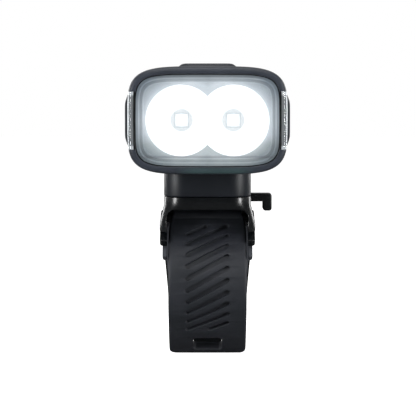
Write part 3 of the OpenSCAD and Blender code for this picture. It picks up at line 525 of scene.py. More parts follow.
def light_given(tree, shader, colour, strength):
    """Makes a surface give light of its own."""
    tree.links.new(colour, shader.inputs["Emission Color"])
    shader.inputs["Emission Strength"].default_value = strength
    shader.inputs["Roughness"].default_value = 0.3


def glow(name, low, high, strength, grain):
    """Surface with painted light of its own, a little uneven over its face, standing in for the
    lamp's light falling on it.
    """
    material, tree, shader = new_material(name)
    colour = ramp(tree, object_noise(tree, grain, 2), [(0.2, srgb(low)), (0.8, srgb(high))])
    shader.inputs["Base Color"].default_value = (*grey(0.1), 1)
    light_given(tree, shader, colour, strength)
    return material


def from_bowl_centre(tree, square=False):
    """Distance from the nearer bowl's axis in millimetres, round or measured to a square."""
    x, _, z = apart(tree)
    across = away_from(tree, figure(tree, "ABSOLUTE", x), BOWL_X)
    up = away_from(tree, z, HEAD_Z)
    if square:
        far = figure(tree, "MAXIMUM", across, up)
    else:
        squares = [figure(tree, "POWER", way, 2) for way in (across, up)]
        far = figure(tree, "SQRT", figure(tree, "ADD", *squares))
    return figure(tree, "MULTIPLY", far, 1 / MM)


# Painted light and shade on the reflector: over the frame with the distance from a bowl, at the
# edges of the frame's steps with the depth, and from its lower to its upper lip with the height
FRAME_FALL = [(0.0, (0.62, 0.66, 0.7)), (0.49, (0.58, 0.62, 0.66)), (0.53, (0.44, 0.48, 0.52)),
              (0.6, (0.3, 0.335, 0.37)), (0.7, (0.15, 0.18, 0.21)), (0.9, (0.09, 0.11, 0.13))]
FRAME_STEPS = [(0, grey(0.74)), (0.16, grey(0.74)), (0.2, WHITE), (0.47, WHITE), (0.53, grey(0.7)),
               (0.57, grey(0.7)), (0.61, WHITE)]
FRAME_SHADE = [(0, grey(0.6)), (0.08, (0.76, 0.78, 0.75)), (0.13, (0.76, 0.78, 0.75)),
               (0.14, grey(0.5)), (0.152, grey(0.5)), (0.162, (0.7, 0.72, 0.7)),
               (0.27, (0.74, 0.76, 0.73)), (0.36, WHITE), (0.895, WHITE), (0.925, grey(0.55))]
FRAME_REACH = 20
SHADE_HALF = 14 * MM


def lit_bowls(name):
    """Plated reflector with the lamp's light painted on: white in the bowls, falling off over its
    frame.
    """
    material, tree, shader = new_material(name)
    across, depth, height = apart(tree)
    nearer_middle = span(tree, figure(tree, "ABSOLUTE", across), 0.86, 1, 0, BOWL_X)
    drawn_in = figure(tree, "MULTIPLY", from_bowl_centre(tree), nearer_middle)
    far = span(tree, drawn_in, 0, 1, 0, FRAME_REACH)
    uneven = span(tree, object_noise(tree, 420, 3), -0.006, 0.006)
    fall = ramp(tree, figure(tree, "ADD", far, uneven), FRAME_FALL)
    in_bowl = ramp(tree, span(tree, depth, 0, 1, BOWL_Y, BOWL_Y + 0.1 * MM),
                   [(0.2, grey(0)), (0.8, WHITE)])
    steps = ramp(tree, span(tree, depth, 0, 1, -41 * MM, -39 * MM), FRAME_STEPS)
    shade = ramp(tree, span(tree, height, 0, 1, HEAD_Z - SHADE_HALF, HEAD_Z + SHADE_HALF),
                 FRAME_SHADE)
    base = ramp(tree, uneven, [(0, (0.05, 0.052, 0.055)), (1, (0.06, 0.062, 0.065))])
    tree.links.new(base, shader.inputs["Base Color"])
    shader.inputs["Specular IOR Level"].default_value = 0.2
    frame_light = figure_colour(tree, figure_colour(tree, fall, steps), shade)
    light_given(tree, shader, figure_colour(tree, frame_light, in_bowl, "MAXIMUM"), 1.25)
    return material


def lit_emitter(name):
    """Emitter that is white with light, with the bluish rim of its square package."""
    material, tree, shader = new_material(name)
    far = span(tree, from_bowl_centre(tree, square=True), 0, 1, 0, 4)
    uneven = span(tree, object_noise(tree, 900, 2), -0.004, 0.004)
    rim = (0.66, 0.71, 0.74)
    colour = ramp(tree, figure(tree, "ADD", far, uneven),
                  [(0.0, WHITE), (0.41, WHITE), (0.44, rim), (1.0, rim)])
    shader.inputs["Base Color"].default_value = (*grey(0.05), 1)
    light_given(tree, shader, colour, 1.1)
    return material


def lens_plastic(name):
    """Clear plastic with painted light on the rims and ends of its side windows: emission that
    stands in for the lamp's light carried out through them.
    """
    material, tree, shader = clear_plastic(name, "#f4f8fa", "#fbfdfe", 0.02)
    x, _, z = apart(tree)
    side = figure(tree, "ABSOLUTE", x)
    rim = span(tree, side, 0.08, 0.3, 21.1 * MM, 21.4 * MM)
    ends = span(tree, away_from(tree, z, HEAD_Z), 0, 0.24, 6.4 * MM, 7 * MM)
    window = span(tree, side, 0, 1, 19.8 * MM, 20 * MM)
    given = figure(tree, "MULTIPLY", window, figure(tree, "MAXIMUM", rim, ends))
    shader.inputs["Emission Color"].default_value = (0.9, 0.96, 1, 1)
    tree.links.new(given, shader.inputs["Emission Strength"])
    return material


def bezel_plastic(name):
    """Satin plastic with a painted green sheen on its lower lip: emission that stands in for green
    light reflected there.
    """
    material, tree, shader = moulded(name, "#1f232a", "#262a32", 0.38, 0.5, 3800, 12e-6)
    x, y, z = apart(tree)
    across = span(tree, away_from(tree, x, 2.3 * MM), 1, 0, 6 * MM, 11 * MM)
    low = span(tree, z, 1, 0, HEAD_Z - 13.2 * MM, HEAD_Z - 12.2 * MM)
    front = span(tree, y, 1, 0, -43.7 * MM, -42.8 * MM)
    given = figure(tree, "MULTIPLY", figure(tree, "MULTIPLY", across, low), front)
    shader.inputs["Emission Color"].default_value = (0.003, 0.022, 0.015, 1)
    tree.links.new(given, shader.inputs["Emission Strength"])
    return material


# Plastics and metals: two colours, least and most roughness, grain, height of the grain
finishes = {
    "satin_case": plastic("satin_case", "#171a1f", "#1c1f25", 0.46, 0.6, 3800, 14e-6),
    "satin_bezel": bezel_plastic("satin_bezel"),
    "satin_foot": plastic("satin_foot", "#0d1117", "#12161c", 0.38, 0.5, 3600, 20e-6, 0.3),
    "soft_button": plastic("soft_button", "#202227", "#25272c", 0.5, 0.62, 3000, 10e-6),
    "gloss_mount": plastic("gloss_mount", "#06080a", "#090b0d", 0.24, 0.27, 400, 1e-6, 0.42),
    "gloss_lever": plastic("gloss_lever", "#07090b", "#0b0d0f", 0.24, 0.27, 400, 1e-6, 0.42),
    "dark_plastic": plastic("dark_plastic", "#17181a", "#1c1d20", 0.35, 0.5, 2500, 8e-6),
    "clear_lens": lens_plastic("clear_lens"),
    "clear_pipe": clear_plastic("clear_pipe", "#dcebe2", "#e8f2ec", 0.2)[0],
    "mirror_bowl": lit_bowls("mirror_bowl"),
    "emitter": lit_emitter("emitter"),
    "white_board": glow("white_board", "#e6ebee", "#f6f9fb", 0.98, 2600),
    "green_board": plastic("green_board", "#16593a", "#1f6b45", 0.3, 0.45, 1400, 8e-6,
                           stretch=(1, 8, 1)),
    "cell_wrap": plastic("cell_wrap", "#2f5f98", "#3a6da8", 0.25, 0.4, 700, 6e-6),
    "red_wire": plastic("red_wire", "#8e1c1c", "#a82525", 0.35, 0.5, 1800, 6e-6),
    "switch_red": plastic("switch_red", "#7d2323", "#912c2c", 0.35, 0.5, 1800, 6e-6),
    "cast_sink": metal("cast_sink", "#8d9195", "#a9adb1", 0.45, 0.6, 2600, 14e-6),
    "bright_steel": metal("bright_steel", "#9a9da1", "#b8bbbf", 0.2, 0.34, 1500, 4e-6,
                          stretch=(12, 1, 1)),
    "black_screw": metal("black_screw", "#2b2c2e", "#3a3b3e", 0.3, 0.45, 2200, 6e-6),
    "nickel": metal("nickel", "#a8a9a6", "#c6c6c2", 0.18, 0.32, 1800, 4e-6, stretch=(1, 10, 1)),
    "black_seal": plastic("black_seal", "#101112", "#151617", 0.6, 0.75, 2400, 8e-6),
    "pad_rubber": plastic("pad_rubber", "#2c2e33", "#33353a", 0.6, 0.75, 3200, 12e-6),
    "strap_rubber": plastic("strap_rubber", "#171a1f", "#1d1f25", 0.48, 0.6, 3400, 14e-6, 0.32),
}

# Every CAD node takes the finish of its slot
for part in frame["record"]["subparts"]:
    solid = frame["nodes"][part["node"]]
    solid.data.materials.clear()
    solid.data.materials.append(finishes[part["material_slot"]])


def fit_piece(piece, body, node, slot, degrees):
    """Gives a finished piece its finish and puts it on its body in place of the plain solid."""
    smooth(piece, degrees)
    piece.data.materials.clear()
    piece.data.materials.append(finishes[slot])
    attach(piece, body)
    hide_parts(node)
    return piece


# The lamp's head: bezel, clear lens with its side windows, reflector, housing and rear cap

CORE_Y = -42.567
BEZEL_SKIN = [(-44, 1.3), (-43.93, 1.02), (-43.76, 0.78), (-43.5, 0.56), (-43.1, 0.4),
              (-42.4, 0.26), (-41.3, 0.14), (-39.5, 0.05), (-37, 0.0)]


def window_zone(gap):
    """The room of the two side windows, from the bezel's front to its rear edge."""
    depth, height = 4.2 * MM, 15.6 * MM
    sides = [front_plate("window_zone", depth, height - 2 * gap, -45 * MM, -34.5 * MM,
                         (side * (HEAD_A + MM - depth / 2), HEAD_Z), MM) for side in SIDES]
    return join(sides, "window_zone")


def make_bezel():
    bezel = head_loft("bezel_ring", BEZEL_SKIN + [
        (-35.8, 0), (-35.62, 0.06), (-35.53, 0.16), (-35.5, 0.3), (-35.5, 1.4), (-43.1, 1.4),
        (-43.1, 2.2), (-43.75, 2.2), (-43.9, 2.16), (-43.97, 2.08), (-44, 1.96)], ring=True)
    tool = head_loft("window_tool", [(-45, -1), (-34.5, -1), (-34.5, 0.7), (CORE_Y, 0.7),
                                     (CORE_Y, 3.2), (-45, 3.2)], ring=True)
    combine(tool, [window_zone(0)], "INTERSECT")
    combine(bezel, [tool])
    return fit_piece(bezel, "lamp", "front_bezel", "satin_bezel", 40)


def make_lens():
    gap = 0.05
    skin = [(y + gap, inset + gap) for y, inset in BEZEL_SKIN]
    wings = head_loft("lens_wings", skin + [(-35.85, gap), (-35.85, 0.65), (CORE_Y - gap, 0.65),
                                            (CORE_Y - gap, 2.15), (-43.95, 2.15)], ring=True)
    combine(wings, [window_zone(gap * MM)], "INTERSECT")
    lens = head_loft("clear_lens", [(-41.5, 1.7), (-41.58, 1.58), (-41.7, 1.55), (-42.9, 1.55),
                                    (-43.02, 1.58), (-43.1, 1.7)])
    combine(lens, [wings], "UNION")
    return fit_piece(lens, "lamp", "front_lens", "clear_lens", 30)


def make_reflector():
    reflector = head_loft("twin_reflector_shell", [
        (-29.9, 2.55), (-39, 2.55), (-39, 1.55), (-40.7, 1.55), (-40.7, 3.02), (-40.62, 3.12),
        (-40.02, 3.38), (-39.9, 3.46), (-39.9, 4.1), (-39.82, 4.2), (-39.22, 4.46), (-39.1, 4.54)])
    deep = REFLECTOR_Y1 - BOWL_Y
    floor_depth = BOWL_HOLE_R ** 2 / (4 * BOWL_FOCUS)
    neck = 0.4 * MM
    rows = [(-MM, BOWL_HOLE_R), (neck, BOWL_HOLE_R)]
    for i in range(1, BOWL_ROWS + 1):
        radius = BOWL_HOLE_R + (BOWL_R - BOWL_HOLE_R) * i / BOWL_ROWS
        rows.append((neck + radius ** 2 / (4 * BOWL_FOCUS) - floor_depth, radius))
    rows.append((deep + 2 * MM, BOWL_R))
    for side in SIDES:
        middle = (side * BOWL_X, REFLECTOR_Y1, HEAD_Z)
        combine(reflector, [turned("bowl", rows, laid(middle, FORWARD), 128)])
    return fit_piece(reflector, "lamp", "twin_reflector", "mirror_bowl", 30)


# The grips on the head's sides, in millimetres: half height and its slope, start and its rise,
# where the grip begins to fade and how long it takes
GRIP_HALF, GRIP_SLOPE = 8.6, 4.4
GRIP_Y0, GRIP_RISE = -35.15, 1.5
GRIP_FADE_Y, GRIP_FADE = -15.65, 30.5


def pull_grip(at):
    """Draws out the low rib on each side, full behind the bezel and fading towards the rear."""
    height = abs(at.z - HEAD_Z) / MM
    y = at.y / MM
    if abs(at.x) < HEAD_A - GRIP_DEPTH or height > GRIP_HALF or y < GRIP_Y0:
        return at
    crown = ease((GRIP_HALF - height) / GRIP_SLOPE)
    start = ease((y - GRIP_Y0) / GRIP_RISE)
    stand = GRIP_STAND * crown * start * (1 - ease((y - GRIP_FADE_Y) / GRIP_FADE))
    return Vector((at.x + math.copysign(stand, at.x), at.y, at.z))


def make_housing():
    housing = head_loft("housing_shell", [
        (-39, 1.7), (-38.85, 1.55), (-35.5, 1.55), (-35.5, 0.3), (-35.46, 0.16), (-35.36, 0.05),
        (-35.2, 0), (-34.9, 0), (-34.6, 0), (-34.3, 0), (-34, 0), (-33.7, 0), (-33.3, 0), (-32, 0),
        (-24, 0), (-15.65, 0), (-13, 0), (-10, 0), (-5, 0), (0, 0), (5, 0.03), (10, 0.06),
        (14.85, 0.1), (24, 0.23), (36, 0.44), (48.3, 0.7), (48.46, 0.76), (48.56, 0.86),
        (48.6, 1), (48.6, 2.2), (-24.1, 2.2), (-24.1, 3.6), (-25.9, 3.6), (-25.9, 2.4),
        (-39, 2.4)], ring=True)
    move_points(housing, pull_grip)
    top_hole = slab("button_hole", 17.7 * MM, 18.3 * MM, 10 * MM,
                    (0, BUTTON_Y, HEAD_Z + 8 * MM), 4.2 * MM, 12)
    foot_seat = slab("foot_seat", FOOT_W + 0.1 * MM, FOOT_LEN + 0.1 * MM, 4 * MM,
                     (0, 0, FOOT_Z1 + 0.05 * MM - 4 * MM), FOOT_CORNER, 16)
    combine(housing, [top_hole, foot_seat])
    return fit_piece(housing, "lamp", "main_housing", "satin_case", 32)


def screw_room(name, head_r, shank_r, depth, place, axis):
    """Countersunk hole for a screw whose head's top is at place."""
    sink = head_r - shank_r
    rows = [(-depth, shank_r), (-sink, shank_r), (0, head_r), (4 * MM, head_r)]
    return turned(name, rows, laid(place, axis), 40)


def make_rear_cap():
    turns = [math.radians(a) for a in range(0, 91, 9)]
    back = [(51 + 3.6 * math.sin(a), 0.78 + 3.1 * (1 - math.cos(a))) for a in turns]
    cap = head_loft("rear_cap_shell", [(45.6, 2.5), (45.75, 2.35), (48.65, 2.35), (48.65, 1),
                                       (48.69, 0.86), (48.79, 0.75), (48.95, 0.7)] + back)
    cuts = [screw_room("screw_hole", 2.12 * MM, 1.27 * MM, 11 * MM, place, REARWARD)
            for place in CAP_SCREWS]
    cuts += [front_plate("cover_recess", 13.9 * MM, 7.3 * MM, 53 * MM, 56 * MM, (0, SOCKET_Z),
                         1.55 * MM),
             block("hinge_recess", (-6.95 * MM, 52.65 * MM, 47.92 * MM),
                   (6.95 * MM, 56 * MM, SOCKET_Z)),
             front_plate("socket_way", 9.04 * MM, 3.26 * MM, 45 * MM, 55 * MM, (0, SOCKET_Z),
                         1.45 * MM),
             block("board_slot", (-11.15 * MM, 44 * MM, 51.39 * MM),
                   (11.15 * MM, 51.75 * MM, 56.5 * MM))]
    combine(cap, cuts)
    return fit_piece(cap, "lamp", "rear_cap", "satin_case", 32)


# Screws with a hexagon socket in the head

def countersunk(name, shank_r, head_r, length, place, axis):
    sink = head_r - shank_r
    rows = [(-length, shank_r * 0.8), (-length + 0.3 * MM, shank_r), (-sink, shank_r),
            (-0.12 * MM, head_r - 0.1 * MM), (-0.05 * MM, head_r - 0.03 * MM),
            (0, head_r - 0.12 * MM)]
    screw = turned(name, rows, laid(place, axis), 40)
    return combine(screw, [rod("hex_socket", head_r * 0.42, -0.55 * head_r, MM, place, axis, 6)])


def make_screws(name, node, body, shank_r, head_r, length, places, axis):
    screws = [countersunk(name, shank_r, head_r, length, place, axis) for place in places]
    return fit_piece(join(screws, name), body, node, "black_screw", 30)


# Button with a rounded top and its light pipe's hole

def make_button():
    skirt = 2.7 * MM
    skirt_z = HEAD_TOP - skirt
    button = slab("power_button_cap", 17.4 * MM, 18 * MM, skirt, (0, BUTTON_Y, skirt_z),
                  4.05 * MM, 12)
    edit(button)
    choose(button, "FACE", lambda face: face.normal.z > 0.9)
    crown = ((0.42, 0.4), (0.42, 0.36), (0.4, 0.28), (0.4, 0.16), (0.5, 0.08), (1.4, 0.02))
    for inset, rise in crown:
        bpy.ops.mesh.inset(thickness=inset * MM, depth=rise * MM)
    close_up()
    flange = slab("button_flange", 19.8 * MM, 20.4 * MM, 0.9 * MM,
                  (0, BUTTON_Y, skirt_z - 0.8 * MM), 4.2 * MM)
    combine(button, [flange], "UNION")
    combine(button, [rod("pipe_hole", 1.42 * MM, -10 * MM, 4 * MM, (0, PIPE_Y, HEAD_TOP), UP)])
    return fit_piece(button, "button", "power_button", "soft_button", 40)


# Foot that slides on the rail

def make_foot():
    foot = slab("sliding_foot", FOOT_W, FOOT_LEN, FOOT_Z1 - FOOT_Z0, (0, 0, FOOT_Z0),
                FOOT_CORNER, 16)
    round_rims(foot, 0.25 * MM, 3, level_rim)
    slot_y = -15.5 * MM
    catch_half = 2.5 * MM
    cuts = [block("slot_mouth", (-5.2 * MM, slot_y, FOOT_Z0 - MM),
                  (5.2 * MM, FOOT_LEN, SLOT_ROOF_Z)),
            block("slot_room", (-7.7 * MM, slot_y - 0.01 * MM, RAIL_Z1 - 0.2 * MM),
                  (7.7 * MM, FOOT_LEN, RAIL_Z2 + 0.21 * MM)),
            block("catch_pocket", (PLATE_SCREW_X - catch_half, -2.7 * MM, FOOT_Z0 - MM),
                  (PLATE_SCREW_X + catch_half, 5.1 * MM, 26.3 * MM))]
    cuts += [screw_room("screw_hole", 2.82 * MM, 1.52 * MM, 8 * MM, place, DOWN)
             for place in FOOT_SCREWS]
    combine(foot, cuts)
    return fit_piece(foot, "lamp", "mount_foot", "satin_foot", 32)


# Mount: deck with cheeks, two fingers, the claw and its hook

def round_bar(inner, outer):
    """Rule that bends a flat band round the bar: Y runs along it, Z out through it."""
    def bend(at):
        angle = at.y / outer
        reach = inner + at.z
        return Vector((at.x, -reach * math.sin(angle), reach * math.cos(angle)))

    return bend


def bent(name, width, inner, outer, from_deg, to_deg, corner, rim, slices=40):
    """Band round the bar, drawn flat and bent: angles run from the top towards the front."""
    start, end = math.radians(from_deg) * outer, math.radians(to_deg) * outer
    band = slab(name, width, end - start, outer - inner, (0, (start + end) / 2, 0), corner)
    round_rims(band, rim, 3, level_rim)
    slice_along_y(band, spread(start, end, slices))
    move_points(band, round_bar(inner, outer))
    return band


def narrow_with_claw(at):
    """Draws a point of the mount's rear in towards the claw's narrow end."""
    share = min(max((CLAW_TOP_Z - at.z) / CLAW_DROP, 0), 1) if at.y > 0 else 0
    return Vector((at.x * (1 - CLAW_TAPER * share), at.y, at.z))


def make_base():
    rim_z = SEAM_Z - 2.4 * MM
    flare_z, cheek_z = 17.15 * MM, 14.55 * MM
    base = slab("mount_shell", FOOT_W, FOOT_LEN, 2.4 * MM, (0, 0, rim_z), FOOT_CORNER, 16)
    edit(base)
    choose(base, "FACE", lambda face: face.normal.z < -0.9)
    for low, wide, long in ((flare_z, SADDLE_W / FOOT_W, 36.8 / 40), (cheek_z, 1, 1)):
        bpy.ops.mesh.extrude_region_move(TRANSFORM_OT_translate={"value": (0, 0, low - rim_z)})
        bpy.ops.transform.resize(value=(wide, long, 1), center_override=(0, 0, low))
        rim_z = low
    close_up()
    round_rims(base, 0.3 * MM, 3, lambda edge: level_rim(edge) and (
        edge.verts[0].co.z > SEAM_Z - TINY or edge.verts[0].co.z < cheek_z + 0.01 * MM))
    inner_r = SADDLE_R - MM
    tip_r = BAND_R + 4.2 * MM
    fingers = bent("fingers", SADDLE_W - 0.2 * MM, inner_r, BAND_R, -66, 53, 0.9 * MM, 0.3 * MM)
    claw = bent("claw", 2 * 13.55 * MM, inner_r, BAND_R, -119, -56, 1.2 * MM, 0.3 * MM)
    move_points(claw, narrow_with_claw)
    tongue = bent("tongue", 13 * MM, SADDLE_R - 0.5 * MM, BAND_R - 0.1 * MM, -163, -117,
                  1.5 * MM, 0.3 * MM, 20)
    post = bent("hook_post", 8.4 * MM, BAND_R - 0.65 * MM, tip_r, -162.4, -155.4,
                0, 0.25 * MM, 6)
    lip = bent("hook_lip", 8.3 * MM, tip_r - 1.4 * MM, tip_r + 0.05 * MM, -161.4, -151.4,
               0.5 * MM, 0.25 * MM, 6)
    shoulder = bent("hook_shoulder", 12.9 * MM, BAND_R - 0.87 * MM, BAND_R + 1.4 * MM,
                    -162.6, -158.9, 0, 0.2 * MM, 6)
    combine(base, [fingers, claw, tongue, shoulder, post, lip], "UNION")
    arch = front_plate("arch", 2 * ARCH_HALF, ARCH_Z + BAND_R, -FOOT_LEN, CAVITY_Y,
                       (0, (ARCH_Z - BAND_R) / 2), 2.4 * MM, 10)
    saddle = rod("bar_room", SADDLE_R, -30 * MM, 30 * MM, (0, 0, 0), ACROSS, 192)
    combine(base, [saddle, arch])
    edit(base)
    choose(base, "EDGE", lambda edge: edge.calc_face_angle(0) > 0.9 and all(
        v.co.y < -15 * MM and abs(v.co.x) < ARCH_HALF + 0.02 * MM and v.co.z > 15 * MM
        for v in edge.verts))
    bpy.ops.mesh.bevel(offset=0.35 * MM, segments=3, affect="EDGES", clamp_overlap=False)
    bpy.ops.object.mode_set(mode="OBJECT")
    inner = 10.5 * MM
    pocket_z = SADDLE_R + 1.75 * MM
    boss_z = pocket_z - 0.05 * MM
    cuts = [block("plate_recess", (-inner, -16.55 * MM, SEAM_Z - 2.1 * MM),
                  (inner, 18 * MM, SEAM_Z + MM)),
            block("deck_pocket", (-inner + 0.01 * MM, -2.4 * MM, pocket_z),
                  (inner - 0.01 * MM, 17.99 * MM, SEAM_Z)),
            block("lever_way", (-4.25 * MM, 6.85 * MM, pocket_z - 0.35 * MM),
                  (SADDLE_W, 13.55 * MM, SEAM_Z + MM))]
    combine(base, cuts)
    bosses = [rod("plate_boss", 2 * MM, 0, high * MM,
                  (side * PLATE_SCREW_X, PLATE_SCREW_Y, boss_z), UP)
              for side, high in ((-1, 3.85), (1, 2.45))]
    bosses += [block("pin_boss", (-4 * MM, from_y * MM, boss_z), (0, to_y * MM, 22.65 * MM))
               for from_y, to_y in ((4.55, 6.85), (13.55, 18.05))]
    combine(base, bosses, "UNION")
    holes = [rod("pin_hole", PIN_HOLE_R, 0, 40 * MM, (LEVER_X, 4.75 * MM, LEVER_Z), REARWARD),
             rod("pin_hole", PIN_HOLE_R, -13.4 * MM, 13.4 * MM, (0, PIN_Y, PIN_Z), ACROSS)]
    holes += [screw_room("screw_hole", 1.92 * MM, 1.02 * MM, 6 * MM, place, UP)
              for place in PLATE_SCREWS]
    combine(base, holes)
    return fit_piece(base, "mount", "mount_base", "gloss_mount", 32)


def make_pad():
    """Rubber liner between mount and bar, with a lip under each finger's end."""
    start, end = math.radians(-114), math.radians(67)
    outer = BAR_R + LINER_T
    pad = slab("saddle_liner", LINER_W, (end - start) * outer, LINER_T,
               (0, (start + end) / 2 * outer, 0), 1 * MM)
    mouth = math.asin(-CAVITY_Y / outer) * outer
    combine(pad, [slab("strap_way", 2 * ARCH_HALF, 60 * MM, 9 * MM,
                       (0, mouth + 30 * MM, -4 * MM), 2 * MM)])
    for side in SIDES:
        lip = slab("liner_lip", 1.16 * MM, math.radians(7.5) * outer, 3.25 * MM,
                   (side * (LINER_W / 2 - 0.65 * MM), math.radians(62.75) * outer, 0.03 * MM),
                   0.3 * MM, 3)
        round_rims(lip, 0.2 * MM, 3, level_rim)
        combine(pad, [lip], "UNION")
    ribs = [slab("rib_gap", 22.4 * MM, 0.8 * MM, 0.8 * MM,
                 (0, math.radians(a) * outer, -0.5 * MM), 0.35 * MM, 4)
            for a in range(-108, 5, 8)]
    combine(pad, [join(ribs, "rib_gaps")])
    slice_along_y(pad, spread(start * outer, end * outer, 60))
    move_points(pad, round_bar(BAR_R, outer))
    move_points(pad, narrow_with_claw)
    return fit_piece(pad, "mount", "saddle_pad", "pad_rubber", 35)


def make_lever():
    from_y, to_y = 7.2 * MM, 13.2 * MM
    pivot = (LEVER_X, from_y, LEVER_Z)
    arm = front_plate("release_tab", 21.4 * MM, 2.4 * MM, from_y, to_y, (8.7 * MM, 23.1 * MM),
                      0.7 * MM)
    thumb = front_plate("thumb_pad", 2.7 * MM, 5.2 * MM, from_y, to_y, (18.05 * MM, 21.7 * MM),
                        0.8 * MM)
    for form in (arm, thumb):
        round_rims(form, 0.3 * MM, 3, rim_test(1))
    hub = rod("lever_hub", 1.9 * MM, 0, 6 * MM, pivot, REARWARD, 48)
    combine(arm, [thumb, hub], "UNION")
    combine(arm, [rod("lever_bore", PIN_BORE_R, -MM, 8 * MM, pivot, REARWARD)])
    return fit_piece(arm, "lever", "release_lever", "gloss_lever", 35)


def make_cover():
    """Rubber flap over the charging socket, with a finger notch, its plug and its hinge barrel."""
    rear_y = 54.5 * MM
    hinge = (0, COVER_AXIS_Y, COVER_AXIS_Z)
    cover = front_plate("port_flap", 13.6 * MM, 7 * MM, 53.3 * MM, rear_y, (0, SOCKET_Z),
                        1.4 * MM, 8)
    round_rims(cover, 0.22 * MM, 3,
               lambda edge: min(v.co.y for v in edge.verts) > rear_y - 0.01 * MM)
    plug = front_plate("port_plug", 7.6 * MM, 1.7 * MM, 51.8 * MM, 53.35 * MM,
                       (0, SOCKET_Z - 0.1 * MM), 0.84 * MM, 8)
    barrel = rod("flap_barrel", 0.9 * MM, -6.65 * MM, 6.65 * MM, hinge, ACROSS)
    pivot = rod("flap_pivot", 0.6 * MM, -7.85 * MM, 7.85 * MM, hinge, ACROSS, 32)
    web = block("flap_web", (-5.4 * MM, 53.25 * MM, COVER_AXIS_Z),
                (5.4 * MM, 54.45 * MM, SOCKET_Z))
    combine(cover, [plug, barrel, pivot, web], "UNION")
    notch = turned("finger_notch", [(0, 2.2 * MM), (2 * MM, 2.6 * MM)],
                   laid((0, 54.1 * MM, SOCKET_Z + 4.2 * MM), REARWARD), 40)
    combine(cover, [notch])
    return fit_piece(cover, "cover", "port_cover", "soft_button", 35)


# The strap, drawn flat, grooved and then bent round the bar

WRAP_LEN = STRAP_R1 * (WRAP_TO - WRAP_FROM)
TAIL_LEN = (TAIL_R + STRAP_T) * TAIL_TURN
FLAT_LEN = WRAP_LEN + TAIL_LEN
GROOVES = 9
GROOVE_W = 1.45 * MM
GROOVE_DEPTH = 0.9 * MM
GROOVE_SLOPE = math.radians(29.5)
GROOVE_HALF = 6.3 * MM
FIRST_GROOVE = math.radians(43.7)
GROOVE_PITCH = math.radians(10.7)
EYE_W = 8.6 * MM
EYE_LEN = 6.5 * MM
RUNG_W = 2.6 * MM
ROOT_TAPER = 0.07


def groove_place(index):
    """How far along the flat strap a groove's middle is."""
    return STRAP_R1 * (FIRST_GROOVE + index * GROOVE_PITCH - WRAP_FROM)


def groove_cutter(from_x, to_x, at):
    length = (to_x - from_x) / math.cos(GROOVE_SLOPE)
    cutter = slab("groove", length, GROOVE_W, 2 * MM, (0, 0, STRAP_T - GROOVE_DEPTH),
                  GROOVE_W * 0.48)
    middle = (from_x + to_x) / 2
    settle(cutter, Matrix.Translation((middle, at, 0)) @ Matrix.Rotation(-GROOVE_SLOPE, 4, "Z"))
    return cutter


def bend_strap(at):
    """Carries a point of the flat strap onto the bend: Y runs along it, Z out through it."""
    if at.y <= WRAP_LEN:
        angle = WRAP_FROM + at.y / STRAP_R1
        swell = max((SWELL_TO - angle) / (SWELL_TO - ROOT_ANGLE), 0) ** 2
        reach = STRAP_R0 + at.z * (1 + swell * (ROOT_R + BEAD_R - STRAP_R1) / STRAP_T)
        return Vector((at.x * (1 - ROOT_TAPER * swell),
                       -reach * math.sin(angle), reach * math.cos(angle)))
    turn = WRAP_TO + (at.y - WRAP_LEN) / (TAIL_R + STRAP_T)
    reach = TAIL_R + at.z
    centre = STRAP_R0 - TAIL_R
    return Vector((at.x, -centre * math.sin(WRAP_TO) - reach * math.sin(turn),
                   centre * math.cos(WRAP_TO) + reach * math.cos(turn)))


def make_strap():
    strap = slab("grooved_strap", STRAP_W, FLAT_LEN, STRAP_T, (0, FLAT_LEN / 2, 0), 1.9 * MM,
                 rounded=lambda vert: vert.co.y > 0)
    round_rims(strap, 0.75 * MM, 4, level_rim)
    cutters = [groove_cutter(-GROOVE_HALF, GROOVE_HALF, groove_place(i)) for i in range(GROOVES)]
    lead = GROOVE_HALF / 2 * math.tan(GROOVE_SLOPE)
    cutters += [groove_cutter(-GROOVE_HALF, 0, groove_place(-1) + lead),
                groove_cutter(0, GROOVE_HALF, groove_place(GROOVES) - lead),
                slab("eye", EYE_W, EYE_LEN, 3 * STRAP_T,
                     (0, FLAT_LEN - RUNG_W - EYE_LEN / 2, -STRAP_T), 1.2 * MM),
                slab("end_notch", 9.6 * MM, 2 * MM, 3 * STRAP_T,
                     (0, FLAT_LEN + 0.7 * MM, -STRAP_T), 0.25 * MM)]
    combine(strap, [join(cutters, "strap_cuts")])
    apply_modifier(strap, "BEVEL", width=0.16 * MM, segments=2, limit_method="ANGLE",
                   angle_limit=math.radians(55))
    slice_along_y(strap, spread(0, FLAT_LEN, 56))
    move_points(strap, bend_strap)
    pin = (0, PIN_Y, PIN_Z)
    half = STRAP_W / 2 - 1.2 * MM
    edge, eased = 0.4 * MM, 0.12 * MM
    rows = [(-half, BEAD_R - edge), (-half + eased, BEAD_R - eased), (-half + edge, BEAD_R),
            (half - edge, BEAD_R), (half - eased, BEAD_R - eased), (half, BEAD_R - edge)]
    bead = turned("strap_bead", rows, laid(pin, ACROSS), 48)
    combine(strap, [bead], "UNION")
    combine(strap, [rod("pin_bore", PIN_BORE_R, -20 * MM, 20 * MM, pin, ACROSS)])
    return fit_piece(strap, "strap", "strap", "strap_rubber", 38)


make_bezel()
make_lens()
make_reflector()
make_housing()
make_rear_cap()
make_screws("cap_screw_set", "cap_screws", "lamp", 1.25 * MM, 2.1 * MM, 12.2 * MM, CAP_SCREWS,
            REARWARD)
make_screws("foot_screw_pair", "foot_screws", "lamp", 1.5 * MM, 2.8 * MM, 7.4 * MM, FOOT_SCREWS,
            DOWN)
make_screws("plate_screw_pair", "plate_screws", "mount", MM, 1.9 * MM, 5.7 * MM, PLATE_SCREWS, UP)
make_button()
make_foot()
make_base()
make_pad()
make_lever()
make_cover()
make_strap()


# Camera, light and floor

